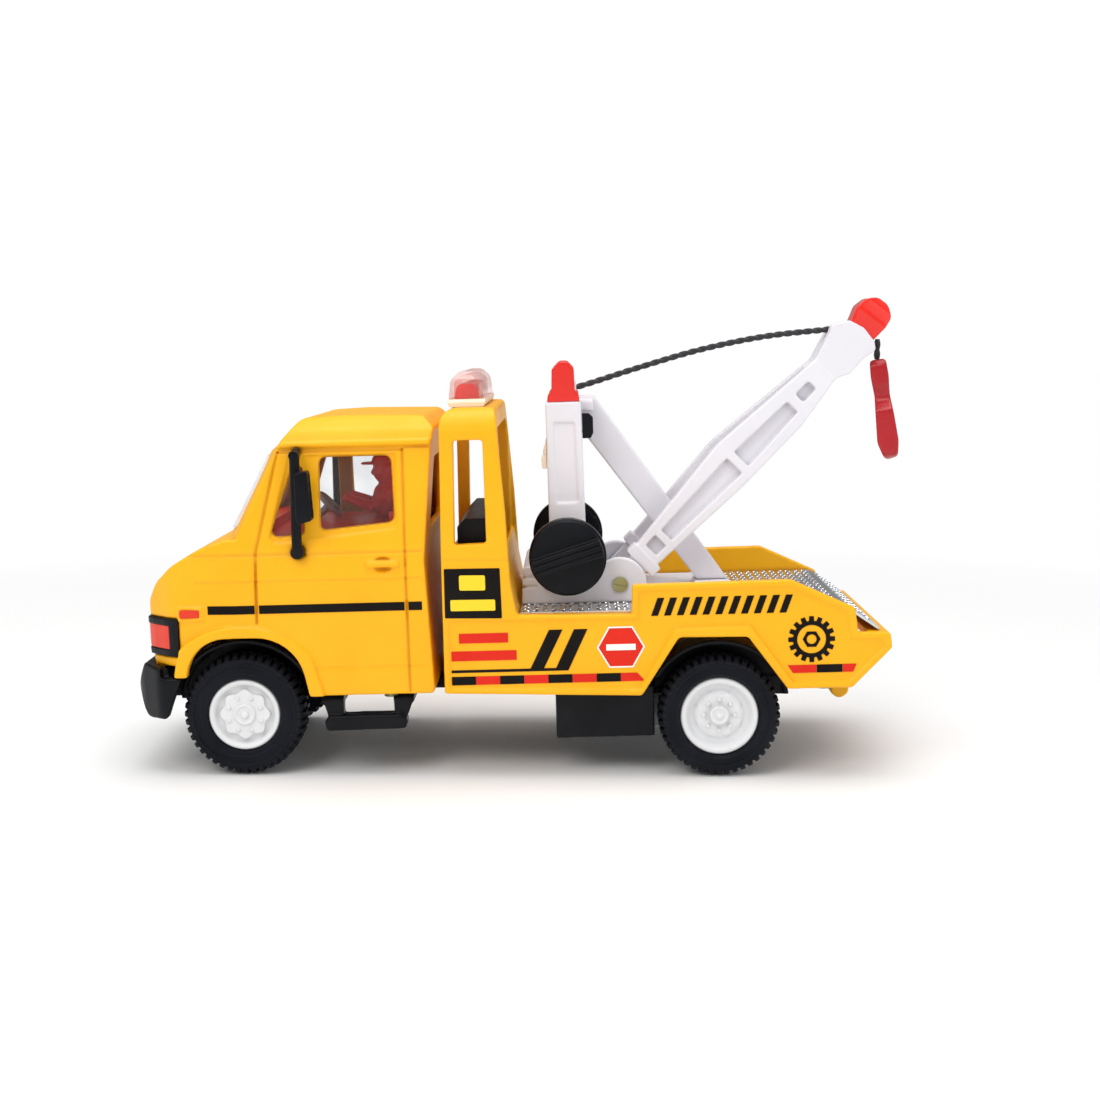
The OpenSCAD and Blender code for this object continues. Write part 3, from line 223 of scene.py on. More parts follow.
def metal(name, base, rough=0.28, edge=0.12):
    """Plated metal: fine scratches, dull patches."""
    mat, g = start_material(name)
    coord = g.coord()
    mapped = g.node("ShaderNodeMapping", {"Vector": coord}).outputs[0]
    scratches = g.noise(mapped, scale=2400, detail=4, rough=0.6)
    patches = g.noise(coord, scale=260, detail=4, rough=0.6)
    dull = g.remap(patches, span=(0.3, 0.7), to=(rough - 0.07, rough + 0.1))
    g.surface(g.principled({
        "Base Color": g.ramp(patches, low=toned(base, 0.82), high=base),
        "Metallic": 1.0,
        "Roughness": g.math("ADD", dull, g.math("MULTIPLY", scratches, 0.08)),
        "Normal": g.bump(scratches, strength=0.15, distance=0.00005, Normal=g.rounded(edge)),
    }))
    return mat


def cord(name):
    """Near-black cord with paler fibres."""
    mat, g = start_material(name)
    coord = g.coord()
    fibres = g.noise(coord, scale=5200, detail=4, rough=0.7)
    patches = g.noise(coord, scale=700, detail=3, rough=0.6)
    under = g.ramp(patches, low=srgb(14, 14, 17), high=srgb(30, 30, 34))
    pale = g.remap(fibres, span=(0.4, 0.75), to=(0, 0.8))
    g.surface(g.principled({
        "Base Color": g.mix(pale, under, srgb(64, 64, 70)),
        "Roughness": 0.78,
        "Sheen Weight": 0.35,
        "Normal": g.bump(fibres, strength=0.6, distance=0.0001),
    }))
    return mat


PRINT = dict(bump=0.08, edge=0.02, wear_and_highlight=0.0)    # thin printed ink
PLASTICS = {
    "yellow_plastic": dict(rgb=(252, 181, 8), var=0.05, rough=0.40, bump=0.10, edge=0.35,
                           wear_and_highlight=0.30, painted_crease_shade=0.72),
    "black_plastic": dict(rgb=(14, 16, 21), var=0.2, bump=0.2, wear_and_highlight=0.25, spec=0.14),
    "white_plastic": dict(rgb=(230, 228, 234), var=0.03, bump=0.10, edge=0.3, wear_and_highlight=0.1,
                          painted_crease_shade=0.5),
    "rim_plastic": dict(rgb=(229, 230, 232), var=0.025, rough=0.40, bump=0.10, wear_and_highlight=0.05,
                        painted_crease_shade=0.55),
    "grey_plastic": dict(rgb=(150, 148, 152), rough=0.42, edge=0.2),
    "cream_plastic": dict(rgb=(244, 226, 200), var=0.05, rough=0.38, bump=0.10, edge=0.2),
    "red_plastic": dict(rgb=(222, 44, 26), var=0.10, rough=0.33, edge=0.3, wear_and_highlight=0.25, coat=0.15),
    "hook_plastic": dict(rgb=(176, 22, 30), var=0.12, rough=0.30, bump=0.10, edge=0.3,
                         wear_and_highlight=0.2, coat=0.25),
    "red_lens": dict(rgb=(232, 38, 26), var=0.08, rough=0.16, rough_var=0.06, bump=0.06,
                     edge=0.3, wear_and_highlight=0.12, coat=0.5),
    "orange_lens": dict(rgb=(224, 50, 12), var=0.10, rough=0.24, rough_var=0.08, bump=0.08,
                        edge=0.2, wear_and_highlight=0.08, coat=0.2),
    "print_black": dict(PRINT, rgb=(18, 15, 12), var=0.10, rough=0.5, bump=0.10, spec=0.1),
    "print_red": dict(PRINT, rgb=(222, 44, 28), rough=0.46, spec=0.12),
    "print_white": dict(PRINT, rgb=(246, 244, 238), var=0.04, rough=0.42),
    "print_yellow": dict(PRINT, rgb=(250, 214, 40), var=0.05, rough=0.42),
    "tyre": dict(rgb=(17, 20, 28), var=0.22, rough=0.58, rough_var=0.18, bump=0.55,
                 grain=3400, edge=0.15, wear_and_highlight=0.2, spec=0.12),
}
METALS = {
    "steel": dict(base=(0.62, 0.63, 0.65)),
    "zinc_steel": dict(base=(0.50, 0.47, 0.22), rough=0.38),
    "silver_deck": dict(base=(0.80, 0.81, 0.83), rough=0.20, edge=0.15),
    "silvered_lens": dict(base=(0.84, 0.86, 0.90), rough=0.14),
}
MATERIALS = {name: moulded(name, **look) for name, look in PLASTICS.items()}
MATERIALS.update({name: metal(name, **look) for name, look in METALS.items()})
MATERIALS["clear_plastic"] = clear("clear_plastic", tint=(0.98, 0.99, 1.0), haze=0.008)
MATERIALS["clear_red_plastic"] = clear("clear_red_plastic", tint=(1.0, 0.86, 0.84), haze=0.05)
MATERIALS["rope"] = cord("twisted_cord")


def set_material(obj, name):
    obj.data.materials.clear()
    obj.data.materials.append(MATERIALS[name])


# ---------------------------------------------------------------- mesh helpers
def mesh_object(name, verts, faces, matrix=None, material=None, smooth=False):
    mesh = bpy.data.meshes.new(name)
    mesh.from_pydata([tuple(v) for v in verts], [], faces)
    if matrix is not None:
        mesh.transform(matrix)
    bm = bmesh.new()
    bm.from_mesh(mesh)
    bmesh.ops.remove_doubles(bm, verts=bm.verts, dist=1e-7)
    bmesh.ops.recalc_face_normals(bm, faces=bm.faces)
    bm.to_mesh(mesh)
    bm.free()
    for face in mesh.polygons:
        face.use_smooth = smooth
    obj = bpy.data.objects.new(name, mesh)
    coll.objects.link(obj)
    if material:
        set_material(obj, material)
    return obj


def loft(verts, count, flip_caps=False):
    """Faces joining successive rings of count vertices, with a cap on each end."""
    last = len(verts) - count
    caps = [range(count - 1, -1, -1), range(last, last + count)]
    if flip_caps:
        caps = [cap[::-1] for cap in caps]
    sides = [(ring + i, ring + (i + 1) % count, ring + count + (i + 1) % count, ring + count + i)
             for ring in range(0, last, count) for i in range(count)]
    return [tuple(cap) for cap in caps] + sides


class Solid:
    """Collects closed shapes in mm, then makes one mesh."""
    def __init__(self):
        self.verts, self.faces = [], []

    def add(self, verts, faces):
        start = len(self.verts)
        self.verts += verts
        self.faces += [tuple(i + start for i in face) for face in faces]
        return self

    def prism(self, outline, start, end, axis="y"):
        """Closed outline swept along y, as (x, z), or along z, as (x, y)."""
        if axis == "y":
            verts = [(p, y, q) for y in (start, end) for p, q in outline]
        else:
            verts = [(p, q, z) for z in (start, end) for p, q in outline]
        return self.add(verts, loft(verts, len(outline), flip_caps=True))

    def ball(self, centre, radii, rings=16):
        """Ellipsoid with poles along z."""
        cx, cy, cz = centre
        rx, ry, rz = radii
        around = rings * 2
        verts = [(cx, cy, cz - rz)]
        for i in range(1, rings):
            wide, high = sin(pi * i / rings), -cos(pi * i / rings)
            for j in range(around):
                turn = 2 * pi * j / around
                verts.append((cx + rx * wide * cos(turn), cy + ry * wide * sin(turn),
                              cz + rz * high))
        verts.append((cx, cy, cz + rz))
        last = len(verts) - 1
        faces = []
        for j in range(around):
            after = (j + 1) % around
            faces.append((0, 1 + after, 1 + j))
            faces.append((last, last - around + j, last - around + after))
        for i in range(rings - 2):
            for j in range(around):
                a, b = 1 + i * around + j, 1 + i * around + (j + 1) % around
                faces.append((a, b, b + around, a + around))
        return self.add(verts, faces)

    def rod(self, start, end, radius, end_radius=None, sides=20):
        start, end = Vector(start), Vector(end)
        along = (end - start).normalized()
        side = along.orthogonal().normalized()
        up = along.cross(side)
        turns = [2 * pi * i / sides for i in range(sides)]
        verts = [centre + (side * cos(t) + up * sin(t)) * r
                 for centre, r in ((start, radius), (end, end_radius or radius)) for t in turns]
        return self.add(verts, loft(verts, sides))

    def lathe(self, profile, centre, steps):
        """Closed profile of (radius, y) turned about the Y axis through centre (x, z)."""
        size = len(profile)
        verts, faces = [], []
        for j in range(steps):
            turn = 2 * pi * j / steps
            verts += [(centre[0] + r * cos(turn), y, centre[1] + r * sin(turn))
                      for r, y in profile]
            here, there = j * size, (j + 1) % steps * size
            for i in range(size):
                after = (i + 1) % size
                faces.append((here + i, here + after, there + after, there + i))
        return self.add(verts, faces)

    def mirror_y(self):
        return self.add([(x, -y, z) for x, y, z in self.verts],
                        [face[::-1] for face in self.faces])

    def obj(self, name, matrix, material=None, smooth=False):
        return mesh_object(name, self.verts, self.faces, matrix, material, smooth)


def round_corners(outline, radius, steps=4):
    """Closed outline with each corner replaced by a quadratic curve."""
    rounded = []
    for i, point in enumerate(outline):
        corner = Vector(point)
        back = Vector(outline[i - 1]) - corner
        ahead = Vector(outline[(i + 1) % len(outline)]) - corner
        back_length, ahead_length = back.length, ahead.length
        back.normalize()
        ahead.normalize()
        half = acos(back.dot(ahead)) / 2
        cut = min(radius / tan(half), back_length * 0.48, ahead_length * 0.48)
        start, end = corner + back * cut, corner + ahead * cut
        for k in range(steps + 1):
            t = k / steps
            rounded.append(tuple((1 - t) ** 2 * start + 2 * t * (1 - t) * corner + t * t * end))
    return rounded


def split_edges(obj, degrees):
    """Keeps edges sharper than the angle crisp."""
    obj.modifiers.new("soft", "EDGE_SPLIT").split_angle = radians(degrees)


def relax(points, edges, passes):
    """Moves each point halfway to the mean of its neighbours, passes times."""
    total = len(points)
    degree = np.bincount(edges.ravel(), minlength=total).astype(float)
    degree[degree == 0] = 1
    a, b = edges[:, 0], edges[:, 1]
    for _ in range(passes):
        sums = np.empty_like(points)
        for k in range(3):
            sums[:, k] = (np.bincount(a, points[b, k], total)
                          + np.bincount(b, points[a, k], total))
        points = points + 0.5 * (sums / degree[:, None] - points)
    return points


def apply_modifier(obj, kind, **settings):
    modifier = obj.modifiers.new("apply", kind)
    for key, value in settings.items():
        setattr(modifier, key, value)
    graph = bpy.context.evaluated_depsgraph_get()
    mesh = bpy.data.meshes.new_from_object(obj.evaluated_get(graph))
    obj.modifiers.clear()
    obj.data = mesh
    return mesh


def write_points(mesh, points):
    mesh.vertices.foreach_set("co", points.ravel())
    mesh.update()


def cast(name, sources, material, voxel, passes, keep, body, node, shape=None):
    """One moulding: solids merged on a grid of voxel mm, then relaxed to soft moulded radii.

    shape(points, normals) presses in detail, keep is the share of faces left at the end.
    """
    bm = bmesh.new()
    for source in sources:
        bm.from_mesh(source.data)
    merged = bpy.data.meshes.new(name)
    bm.to_mesh(merged)
    bm.free()
    obj = bpy.data.objects.new(name, merged)
    coll.objects.link(obj)
    mesh = apply_modifier(obj, "REMESH", mode="VOXEL", voxel_size=voxel * MM, adaptivity=0.0)
    points = np.empty(len(mesh.vertices) * 3)
    mesh.vertices.foreach_get("co", points)
    edges = np.empty(len(mesh.edges) * 2, int)
    mesh.edges.foreach_get("vertices", edges)
    points = relax(points.reshape(-1, 3), edges.reshape(-1, 2), passes)
    write_points(mesh, points)
    if shape:
        normals = np.empty(len(mesh.vertices) * 3, np.float32)
        mesh.vertex_normals.foreach_get("vector", normals)
        write_points(mesh, shape(points, normals.reshape(-1, 3)))
    mesh = apply_modifier(obj, "DECIMATE", ratio=keep)
    for face in mesh.polygons:
        face.use_smooth = True
    set_material(obj, material)
    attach(obj, body)
    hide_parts(node)
    for source in sources:
        if source.name not in NODES:
            bpy.data.objects.remove(source)
    return obj


def hand_over(obj, body, node):
    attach(obj, body)
    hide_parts(node)


# ---------------------------------------------------------------- finish of the CAD nodes
slots = {part["node"]: part["material_slot"] for part in frame["record"]["subparts"]}
for name, obj in NODES.items():
    slot = slots.get(name)
    set_material(obj, slot if slot in MATERIALS else "black_plastic")
    for face in obj.data.polygons:
        face.use_smooth = False
for name in ("front_rims", "rear_rims"):
    set_material(NODES[name], "rim_plastic")
set_material(NODES["hook"], "hook_plastic")
for name in ("rear_axle", "front_axle", "winch_shaft", "boom_pins", "idler_pin", "spring_pin",
             "wound_rope", "winch_spool", "mainspring", "steering_wheel", "lightbar_cover",
             "mast_beacons", "body_screws"):
    if name in NODES:
        split_edges(NODES[name], 32)


# ---------------------------------------------------------------- detail pressed into the sides
# Outlines are (x, z) in BODY. Depths are mm into the skin, negative ones stand proud.
def path_distance(x, z, path):
    best = np.full(len(x), 1e9)
    for (ax, az), (bx, bz) in zip(path[:-1], path[1:]):
        dx, dz = bx - ax, bz - az
        t = np.clip(((x - ax) * dx + (z - az) * dz) / (dx * dx + dz * dz), 0, 1)
        best = np.minimum(best, np.hypot(x - ax - t * dx, z - az - t * dz))
    return best


def inside(x, z, outline):
    result = np.zeros(len(x), bool)
    for (ax, az), (bx, bz) in zip(outline, outline[1:] + outline[:1]):
        if az != bz:
            crosses = (az > z) != (bz > z)
            result ^= crosses & (x < (bx - ax) * (z - az) / (bz - az) + ax)
    return result


def area_mask(x, z, outline, blend):
    """1 inside the outline, 0 outside, with a soft step blend mm wide."""
    distance = path_distance(x, z, outline + outline[:1])
    distance = np.where(inside(x, z, outline), distance, -distance)
    t = np.clip(distance / blend + 0.5, 0, 1)
    return t * t * (3 - 2 * t)


def groove(x, z, path, width=0.26):
    return np.exp(-(path_distance(x, z, path) / width) ** 2)


def body_points(points):
    return points @ TO_BODY[:3, :3].T + TO_BODY[:3, 3]


def press_in(points, normals, depth, local_y, from_y):
    """Moves outward-facing skin beyond from_y towards the middle of the truck."""
    side = np.sign(local_y)
    skin = (normals[:, 1] * side > 0.35) & (np.abs(local_y) > from_y)
    points = points.copy()
    points[:, 1] -= np.where(skin, side * depth * MM, 0)
    return points


WINDOW_SURROUND = [
    (54.9, 56.0), (54.0, 55.0), (52.5, 54.6), (48.9, 54.9), (42.6, 55.7),
    (28.1, 57.1), (26.9, 57.6), (26.4, 58.6), (26.4, 73.9), (50.0, 73.9)]
DOOR_SEAMS = (    # depth, path
    (0.62, [(58.6, 36.6), (58.2, 52.4), (52.6, 74.7)]),
    (0.62, [(24.8, 20.4), (24.8, 74.7)]),
    (0.45, [(24.8, 74.7), (52.6, 74.7)]))
BELT_LINES = (    # z, x from, x to, depth
    (52.1, 21.0, 74.0, 0.26),
    (46.1, 21.0, 72.0, 0.2),
    (26.1, 21.0, 46.0, 0.14))
DRIP_LINE = [(19.0, 75.35), (52.4, 75.35)]
DRIP_LIP = [(18.6, 75.7), (52.6, 75.7), (52.2, 77.0), (18.6, 77.0)]
HANDLE_BAR = [(26.2, 49.0), (26.6, 48.7), (33.2, 48.7), (33.6, 49.0),
              (33.6, 49.9), (33.2, 50.2), (26.6, 50.2), (26.2, 49.9)]
MARKER_FRAME = [(70.6, 37.3), (76.7, 37.3), (76.7, 40.7), (70.6, 40.7)]


def cab_detail(points, normals):
    x, y, z = body_points(points).T
    depth = 0.5 * area_mask(x, z, WINDOW_SURROUND, blend=0.5)
    for seam_depth, path in DOOR_SEAMS:
        depth += seam_depth * groove(x, z, path)
    # belt lines: a fine line, with the skin standing out above it and fading back upwards
    for line_z, x0, x1, line_depth in BELT_LINES:
        depth += line_depth * groove(x, z, [(x0, line_z), (x1, line_z)], width=0.35)
        fade = 1 - np.clip((z - line_z) / 1.6, 0, 1)
        above = (x > x0) & (x < x1) & (z > line_z) & (z < line_z + 3)
        rise = np.minimum(1, (z - line_z) / 0.3)
        depth += np.where(above, -line_depth * 0.7 * fade * rise, 0)
    # drip lip along the roof edge, with a line under it
    depth += (0.34 * groove(x, z, DRIP_LINE, width=0.3)
              - 0.40 * area_mask(x, z, DRIP_LIP, blend=0.35))
    # handle: a bar across a thumb bowl
    bowl = np.clip(1 - np.hypot((x - 29.8) / 2.3, (z - 49.2) / 2.0) ** 2, 0, 1)
    bar = area_mask(x, z, HANDLE_BAR, blend=0.45)
    depth += 1.3 * bowl * (1 - bar) - 0.75 * bar
    # raised frame round the side marker
    depth -= 0.4 * area_mask(x, z, MARKER_FRAME, blend=0.35)
    return press_in(points, normals, depth, y, from_y=24.0)


BED_SIDE_Y = 29.0
BED_BORDER = [    # closed line round the side of the bed
    (-26.8, 19.8), (-34.9, 33.2), (-52.0, 33.4), (-61.4, 20.2), (-73.8, 20.4), (-81.6, 28.0),
    (-81.2, 29.6), (-74.2, 29.8), (-73.4, 35.8), (-60.8, 41.9), (-27.2, 41.7), (-27.0, 35.4),
    (15.4, 36.0), (15.6, 20.8), (-26.8, 19.8)]
BED_TOP_LINE = [(1.9, 49.6), (16.8, 49.9)]


def bed_detail(points, normals):
    x, y, z = body_points(points).T
    depth = 0.16 * groove(x, z, BED_BORDER, width=0.3)
    depth += 0.22 * groove(x, z, BED_TOP_LINE, width=0.28)
    return press_in(points, normals, depth, y, from_y=BED_SIDE_Y)


# ---------------------------------------------------------------- moulded bodies
# closes the foot of the screen pillar on both sides
cowl = Solid().rod((64.0, 24.6, 54.95), (64.0, 27.8, 54.9), 0.7).mirror_y()
cast("cab_moulding", [NODES["cab_shell"], cowl.obj("cowl_fillet", BODY)], "yellow_plastic",
     voxel=0.27, passes=6, keep=0.40, body="root", node="cab_shell", shape=cab_detail)
cast("bed_moulding", [NODES["bed_body"]], "yellow_plastic",
     voxel=0.28, passes=3, keep=0.35, body="root", node="bed_body", shape=bed_detail)

MOULDINGS = (    # name, CAD node, material, voxel, relaxing passes, share kept, body it rides
    ("mast_moulding", "crane_mast", "white_plastic", 0.24, 3, 0.4, "root"),
    ("crane_base_moulding", "crane_base", "white_plastic", 0.22, 3, 0.4, "root"),
    ("boom_moulding", "boom_frame", "white_plastic", 0.2, 3, 0.35, "boom"),
    ("hook_moulding", "hook", "hook_plastic", 0.18, 14, 0.5, "hook"),
    ("tip_lamp_moulding", "tip_lamp", "red_lens", 0.2, 8, 0.5, "boom"),
    ("beacon_mouldings", "mast_beacons", "red_lens", 0.16, 4, 0.5, "root"),
    ("bumper_moulding", "front_bumper", "black_plastic", 0.26, 6, 0.4, "root"),
    ("knob_mouldings", "winch_knobs", "black_plastic", 0.18, 3, 0.35, "winch"),
    ("nose_panel_moulding", "front_grille", "black_plastic", 0.16, 3, 0.4, "root"),
    ("chassis_moulding", "chassis", "black_plastic", 0.3, 2, 0.3, "root"),
    ("mirror_moulding_left", "mirror_left", "black_plastic", 0.16, 7, 0.4, "root"),
    ("mirror_moulding_right", "mirror_right", "black_plastic", 0.16, 7, 0.4, "root"),
)
for name, node, material, voxel, passes, keep, body in MOULDINGS:
    cast(name, [NODES[node]], material, voxel, passes, keep, body, node)


# ---------------------------------------------------------------- tyres
TYRE_FACE_Y = 29.8     # outer face of the left tyres
RIM_FACE_Y = 28.6
FRONT_RIM_R, REAR_RIM_R = 8.2, 8.9
BORE_GAP = 0.02        # tyre bore beyond the rim radius
FIXED_R = 11           # beyond this radius the drawing is stretched to reach the floor
DRAWN_BAND = 3.1       # drawn depth from there to the top of the lugs
TREAD_R = 12.4         # the lugs taper towards this radius
LUG_COUNT = 44
LUG_WIDTH = 1.18
LUG_CHAMFER = 0.14
CENTRE_R = 0.0001      # stands in for zero radius at the centre of a lathe

# (radius, inset from the outer face); the inner row is offset half a pitch
OUTER_LUG = [(12.2, 0.42), (12.9, 0.3), (13.75, 1.1), (14.08, 1.9), (14.1, 4.4), (12.6, 4.4)]
INNER_LUG = [(12.6, 5.1), (14.1, 5.1), (14.08, 7.7), (13.6, 8.6), (12.9, 9.2), (12.2, 9.2)]


def fit(radius):
    if radius < FIXED_R:
        return radius
    return FIXED_R + (radius - FIXED_R) * (AXLE_Z - FIXED_R) / DRAWN_BAND


def add_lug(solid, centre, turn, outline):
    half = LUG_WIDTH / 2
    sections = [(-half, 0.82), (-half + LUG_CHAMFER, 1.0), (half - LUG_CHAMFER, 1.0), (half, 0.82)]
    outline = [(r, TYRE_FACE_Y - inset) for r, inset in outline]
    middle = sum(y for _, y in outline) / len(outline)
    verts = []
    for across, size in sections:
        for r, y in outline:
            radius = fit(TREAD_R + (r - TREAD_R) * (size if r > 13.2 else 1.0))
            verts.append((centre[0] + radius * cos(turn) - across * sin(turn),
                          middle + (y - middle) * (0.5 + 0.5 * size),
                          centre[1] + radius * sin(turn) + across * cos(turn)))
    solid.add(verts, loft(verts, len(outline), flip_caps=True))


def tyre(x, bore):
    """Carcass with two raised rings on the sidewall, and two rows of lugs."""
    solid = Solid()
    centre = (x, AXLE_Z)
    profile = [    # radius, inset from the outer face
        (bore, 8.6), (bore + 0.5, 9.3), (11.2, 9.5), (12.4, 9.1), (13.05, 8.3), (13.15, 7.5),
        (13.15, 1.5), (12.95, 0.75), (12.3, 0.3), (11.9, 0.22), (11.75, 0.02), (11.45, 0.02),
        (11.3, 0.25), (10.2, 0.12), (9.95, 0.0), (9.6, 0.0), (9.45, 0.18),
        (bore + 0.35, 0.35), (bore, 0.9)]
    solid.lathe([(fit(r), TYRE_FACE_Y - inset) for r, inset in profile], centre, 120)
    for i in range(LUG_COUNT):
        add_lug(solid, centre, 2 * pi * i / LUG_COUNT, OUTER_LUG)
        add_lug(solid, centre, 2 * pi * (i + 0.5) / LUG_COUNT, INNER_LUG)
    return solid


for end, x, rim_radius in (("front", FRONT_X, FRONT_RIM_R), ("rear", REAR_X, REAR_RIM_R)):
    solid = tyre(x, rim_radius + BORE_GAP).mirror_y()
    obj = solid.obj(end + "_tyres_treaded", LEVEL, "tyre", smooth=True)
    split_edges(obj, 35)
    hand_over(obj, end + "_wheels", end + "_tyres")


# ---------------------------------------------------------------- rims
# Profiles are (radius, y offset from the rim face).
def turn_rim(solid, centre, profile, steps):
    solid.lathe([(r, RIM_FACE_Y + offset) for r, offset in profile], centre, steps)


def add_nuts(solid, centre, ring_radius, phase, span, radii, sides):
    """Eight tapered pegs; phase is in pegs, span is (start, end) from the rim face."""
    for i in range(8):
        turn = 2 * pi * (i + phase) / 8
        x, z = centre[0] + ring_radius * cos(turn), centre[1] + ring_radius * sin(turn)
        solid.rod((x, RIM_FACE_Y + span[0], z), (x, RIM_FACE_Y + span[1], z), *radii, sides)


def front_rim():
    solid = Solid()
    centre = (FRONT_X, AXLE_Z)
    r = FRONT_RIM_R
    dish_r = r - 1.3
    turn_rim(solid, centre, [
        (CENTRE_R, -5.0), (r - 0.05, -7.0), (r - 0.05, 0.0), (r - 0.35, 0.38),
        (dish_r + 0.5, 0.38), (dish_r, 0.0), (dish_r - 0.45, -1.1), (CENTRE_R, -1.1)], 96)
    # eight-lobed raised disc
    lobes = []
    for i in range(160):
        turn = 2 * pi * i / 160
        radius = 5.35 + 0.42 * cos(8 * turn)
        lobes.append((centre[0] + radius * cos(turn), centre[1] + radius * sin(turn)))
    solid.prism(lobes, RIM_FACE_Y - 2.5, RIM_FACE_Y - 0.25)
    add_nuts(solid, centre, ring_radius=3.9, phase=0.5, span=(-1, 0.2), radii=(0.55, 0.45),
             sides=12)
    turn_rim(solid, centre, [    # hub
        (CENTRE_R, -1), (2.55, -1), (2.4, 0.35), (1.9, 0.35), (1.7, 0.0), (0.95, 0.0),
        (0.85, 0.5), (CENTRE_R, 0.6)], 48)
    return solid


def rear_rim():
    solid = Solid()
    centre = (REAR_X, AXLE_Z)
    r = REAR_RIM_R
    turn_rim(solid, centre, [
        (CENTRE_R, -6.0), (r - 0.05, -7.0), (r - 0.05, 0.0), (r - 0.35, 0.38), (r - 1.1, 0.38),
        (r - 1.5, 0.0), (r - 2.1, -1.9), (r - 3.1, -2.3), (r - 3.6, -1.9), (4.4, -1.35),
        (CENTRE_R, -1.35)], 96)
    add_nuts(solid, centre, ring_radius=3.55, phase=0, span=(-2, -0.55), radii=(0.6, 0.5),
             sides=6)
    add_nuts(solid, centre, ring_radius=5.0, phase=0.5, span=(-2.4, -1.55), radii=(0.5, 0.42),
             sides=12)
    turn_rim(solid, centre, [    # hub
        (CENTRE_R, -2), (2.35, -2), (2.2, -0.2), (1.75, 0.05), (1.5, -0.3), (0.9, -0.3),
        (0.8, 0.15), (CENTRE_R, 0.2)], 48)
    return solid


for end, build in (("front", front_rim), ("rear", rear_rim)):
    node = end + "_rims"
    source = build().mirror_y().obj(node + "_src", LEVEL)
    obj = cast(node + "_moulded", [source], "rim_plastic",
               voxel=0.16, passes=3, keep=0.4, body=end + "_wheels", node=node)


# ---------------------------------------------------------------- silver deck
DECK_TOP = [(-0.4, 37.25), (-73.6, 37.25), (-81.0, 31.95)]    # (x, z), front to rear
DECK_UNDER = [(-81.0, 31.35), (-80.8, 31.33), (-73.45, 36.46), (-0.4, 36.46)]
DECK_HALF_Y = 28.25
PATTERN_WIDTH = 53.6
LOZENGE_PITCH = 2.05
LOZENGE_COLUMNS = int(54 / LOZENGE_PITCH)
LOZENGE_HALF = (0.98, 0.36)    # half length and half width
FIRST_ROW = 1.4
CRANE_BASE = (50.2, 16.4)      # the base hides lozenges up to this run and this |y|


def deck():
    """Plate folded down at the rear, with a checker of slim raised lozenges."""
    solid = Solid().prism(DECK_TOP + DECK_UNDER, -DECK_HALF_Y, DECK_HALF_Y)
    panels, run = [], 0
    for (x0, z0), (x1, z1) in zip(DECK_TOP[:-1], DECK_TOP[1:]):
        length = hypot(x1 - x0, z1 - z0)
        panels.append((run, length, x0, z0, x1 - x0, z1 - z0))
        run += length
    fold = panels[1][0]

    def on_deck(s, y, height):
        """Point at run s along the top, lifted square to the plate."""
        start, length, x0, z0, dx, dz = next(p for p in panels if s <= p[0] + p[1])
        t = (s - start) / length
        return (x0 + dx * t + dz / length * height, y, z0 + dz * t - dx / length * height)

    for i in range(int((run - 2) / LOZENGE_PITCH)):
        for j in range(LOZENGE_COLUMNS):
            s = FIRST_ROW + i * LOZENGE_PITCH
            y = -PATTERN_WIDTH / 2 + (j + 0.5) * (PATTERN_WIDTH / LOZENGE_COLUMNS)
            if (s < CRANE_BASE[0] and abs(y) < CRANE_BASE[1]) or abs(s - fold) < 1.0:
                continue
            slant = radians(45) if (i + j) % 2 else radians(-45)
            outline = []
            for k in range(8):
                turn = 2 * pi * k / 8
                long, wide = LOZENGE_HALF[0] * cos(turn), LOZENGE_HALF[1] * sin(turn)
                outline.append((s + long * cos(slant) - wide * sin(slant),
                                y + long * sin(slant) + wide * cos(slant)))
            verts = [on_deck(p, q, -0.05) for p, q in outline]
            verts += [on_deck(s + (p - s) * 0.55, y + (q - y) * 0.55, 0.27) for p, q in outline]
            solid.add(verts, loft(verts, 8))
    return solid


hand_over(deck().obj("deck_chequer_plate", BODY, "silver_deck"), "root", "deck_plate")


# ---------------------------------------------------------------- twisted rope
SPOOL = (-11.4, 49.0)    # axis (x, z)
WOUND_R = 3.75           # spool axis to the middle of the cord
WOUND_Y = 7.4            # half the width of the winding
WOUND_TURNS = 12
TURN_STEPS = 36
HOOK_LINE_X, HOOK_LINE_Z = -83.2, 96.9

# (x, z) stations in BODY
SPAN = [(-12.2, 86.1), (-17.2, 87.3), (-29.7, 90.9), (-44.0, 94.6), (-59.4, 97.3), (-75.4, 98.6)]
FALL = [(-7.6, 51.6), (-8.2, 58.0), (-8.9, 72.0), (-9.2, 80.6), (-10.2, 84.4), (-13.0, 86.2)]


def strand(path, radius=0.76, lay=4.6, step=0.16, sides=18):
    """Two-lobed section that makes one turn every lay mm as it runs along the path."""
    path = [Vector(p) for p in path]
    runs = [0]
    for a, b in zip(path[:-1], path[1:]):
        runs.append(runs[-1] + (b - a).length)
    total = runs[-1]
    count = int(total / step)
    points = []    # evenly spaced along the path
    k = 0
    for i in range(count + 1):
        s = total * i / count
        while k < len(path) - 2 and s > runs[k + 1]:
            k += 1
        points.append(path[k].lerp(path[k + 1], (s - runs[k]) / (runs[k + 1] - runs[k])))
    verts = []
    for i, point in enumerate(points):
        along = (points[min(i + 1, count)] - points[max(i - 1, 0)]).normalized()
        side = Vector((0, 1, 0))
        side = (side - along * side.dot(along)).normalized()
        up = along.cross(side)
        twist = 2 * pi * (total * i / count) / lay
        for j in range(sides):
            turn = 2 * pi * j / sides
            r = radius * (0.56 + 0.44 * abs(cos(turn - twist)) ** 0.7)
            verts.append(point + (side * cos(turn) + up * sin(turn)) * r)
    return verts, loft(verts, sides)


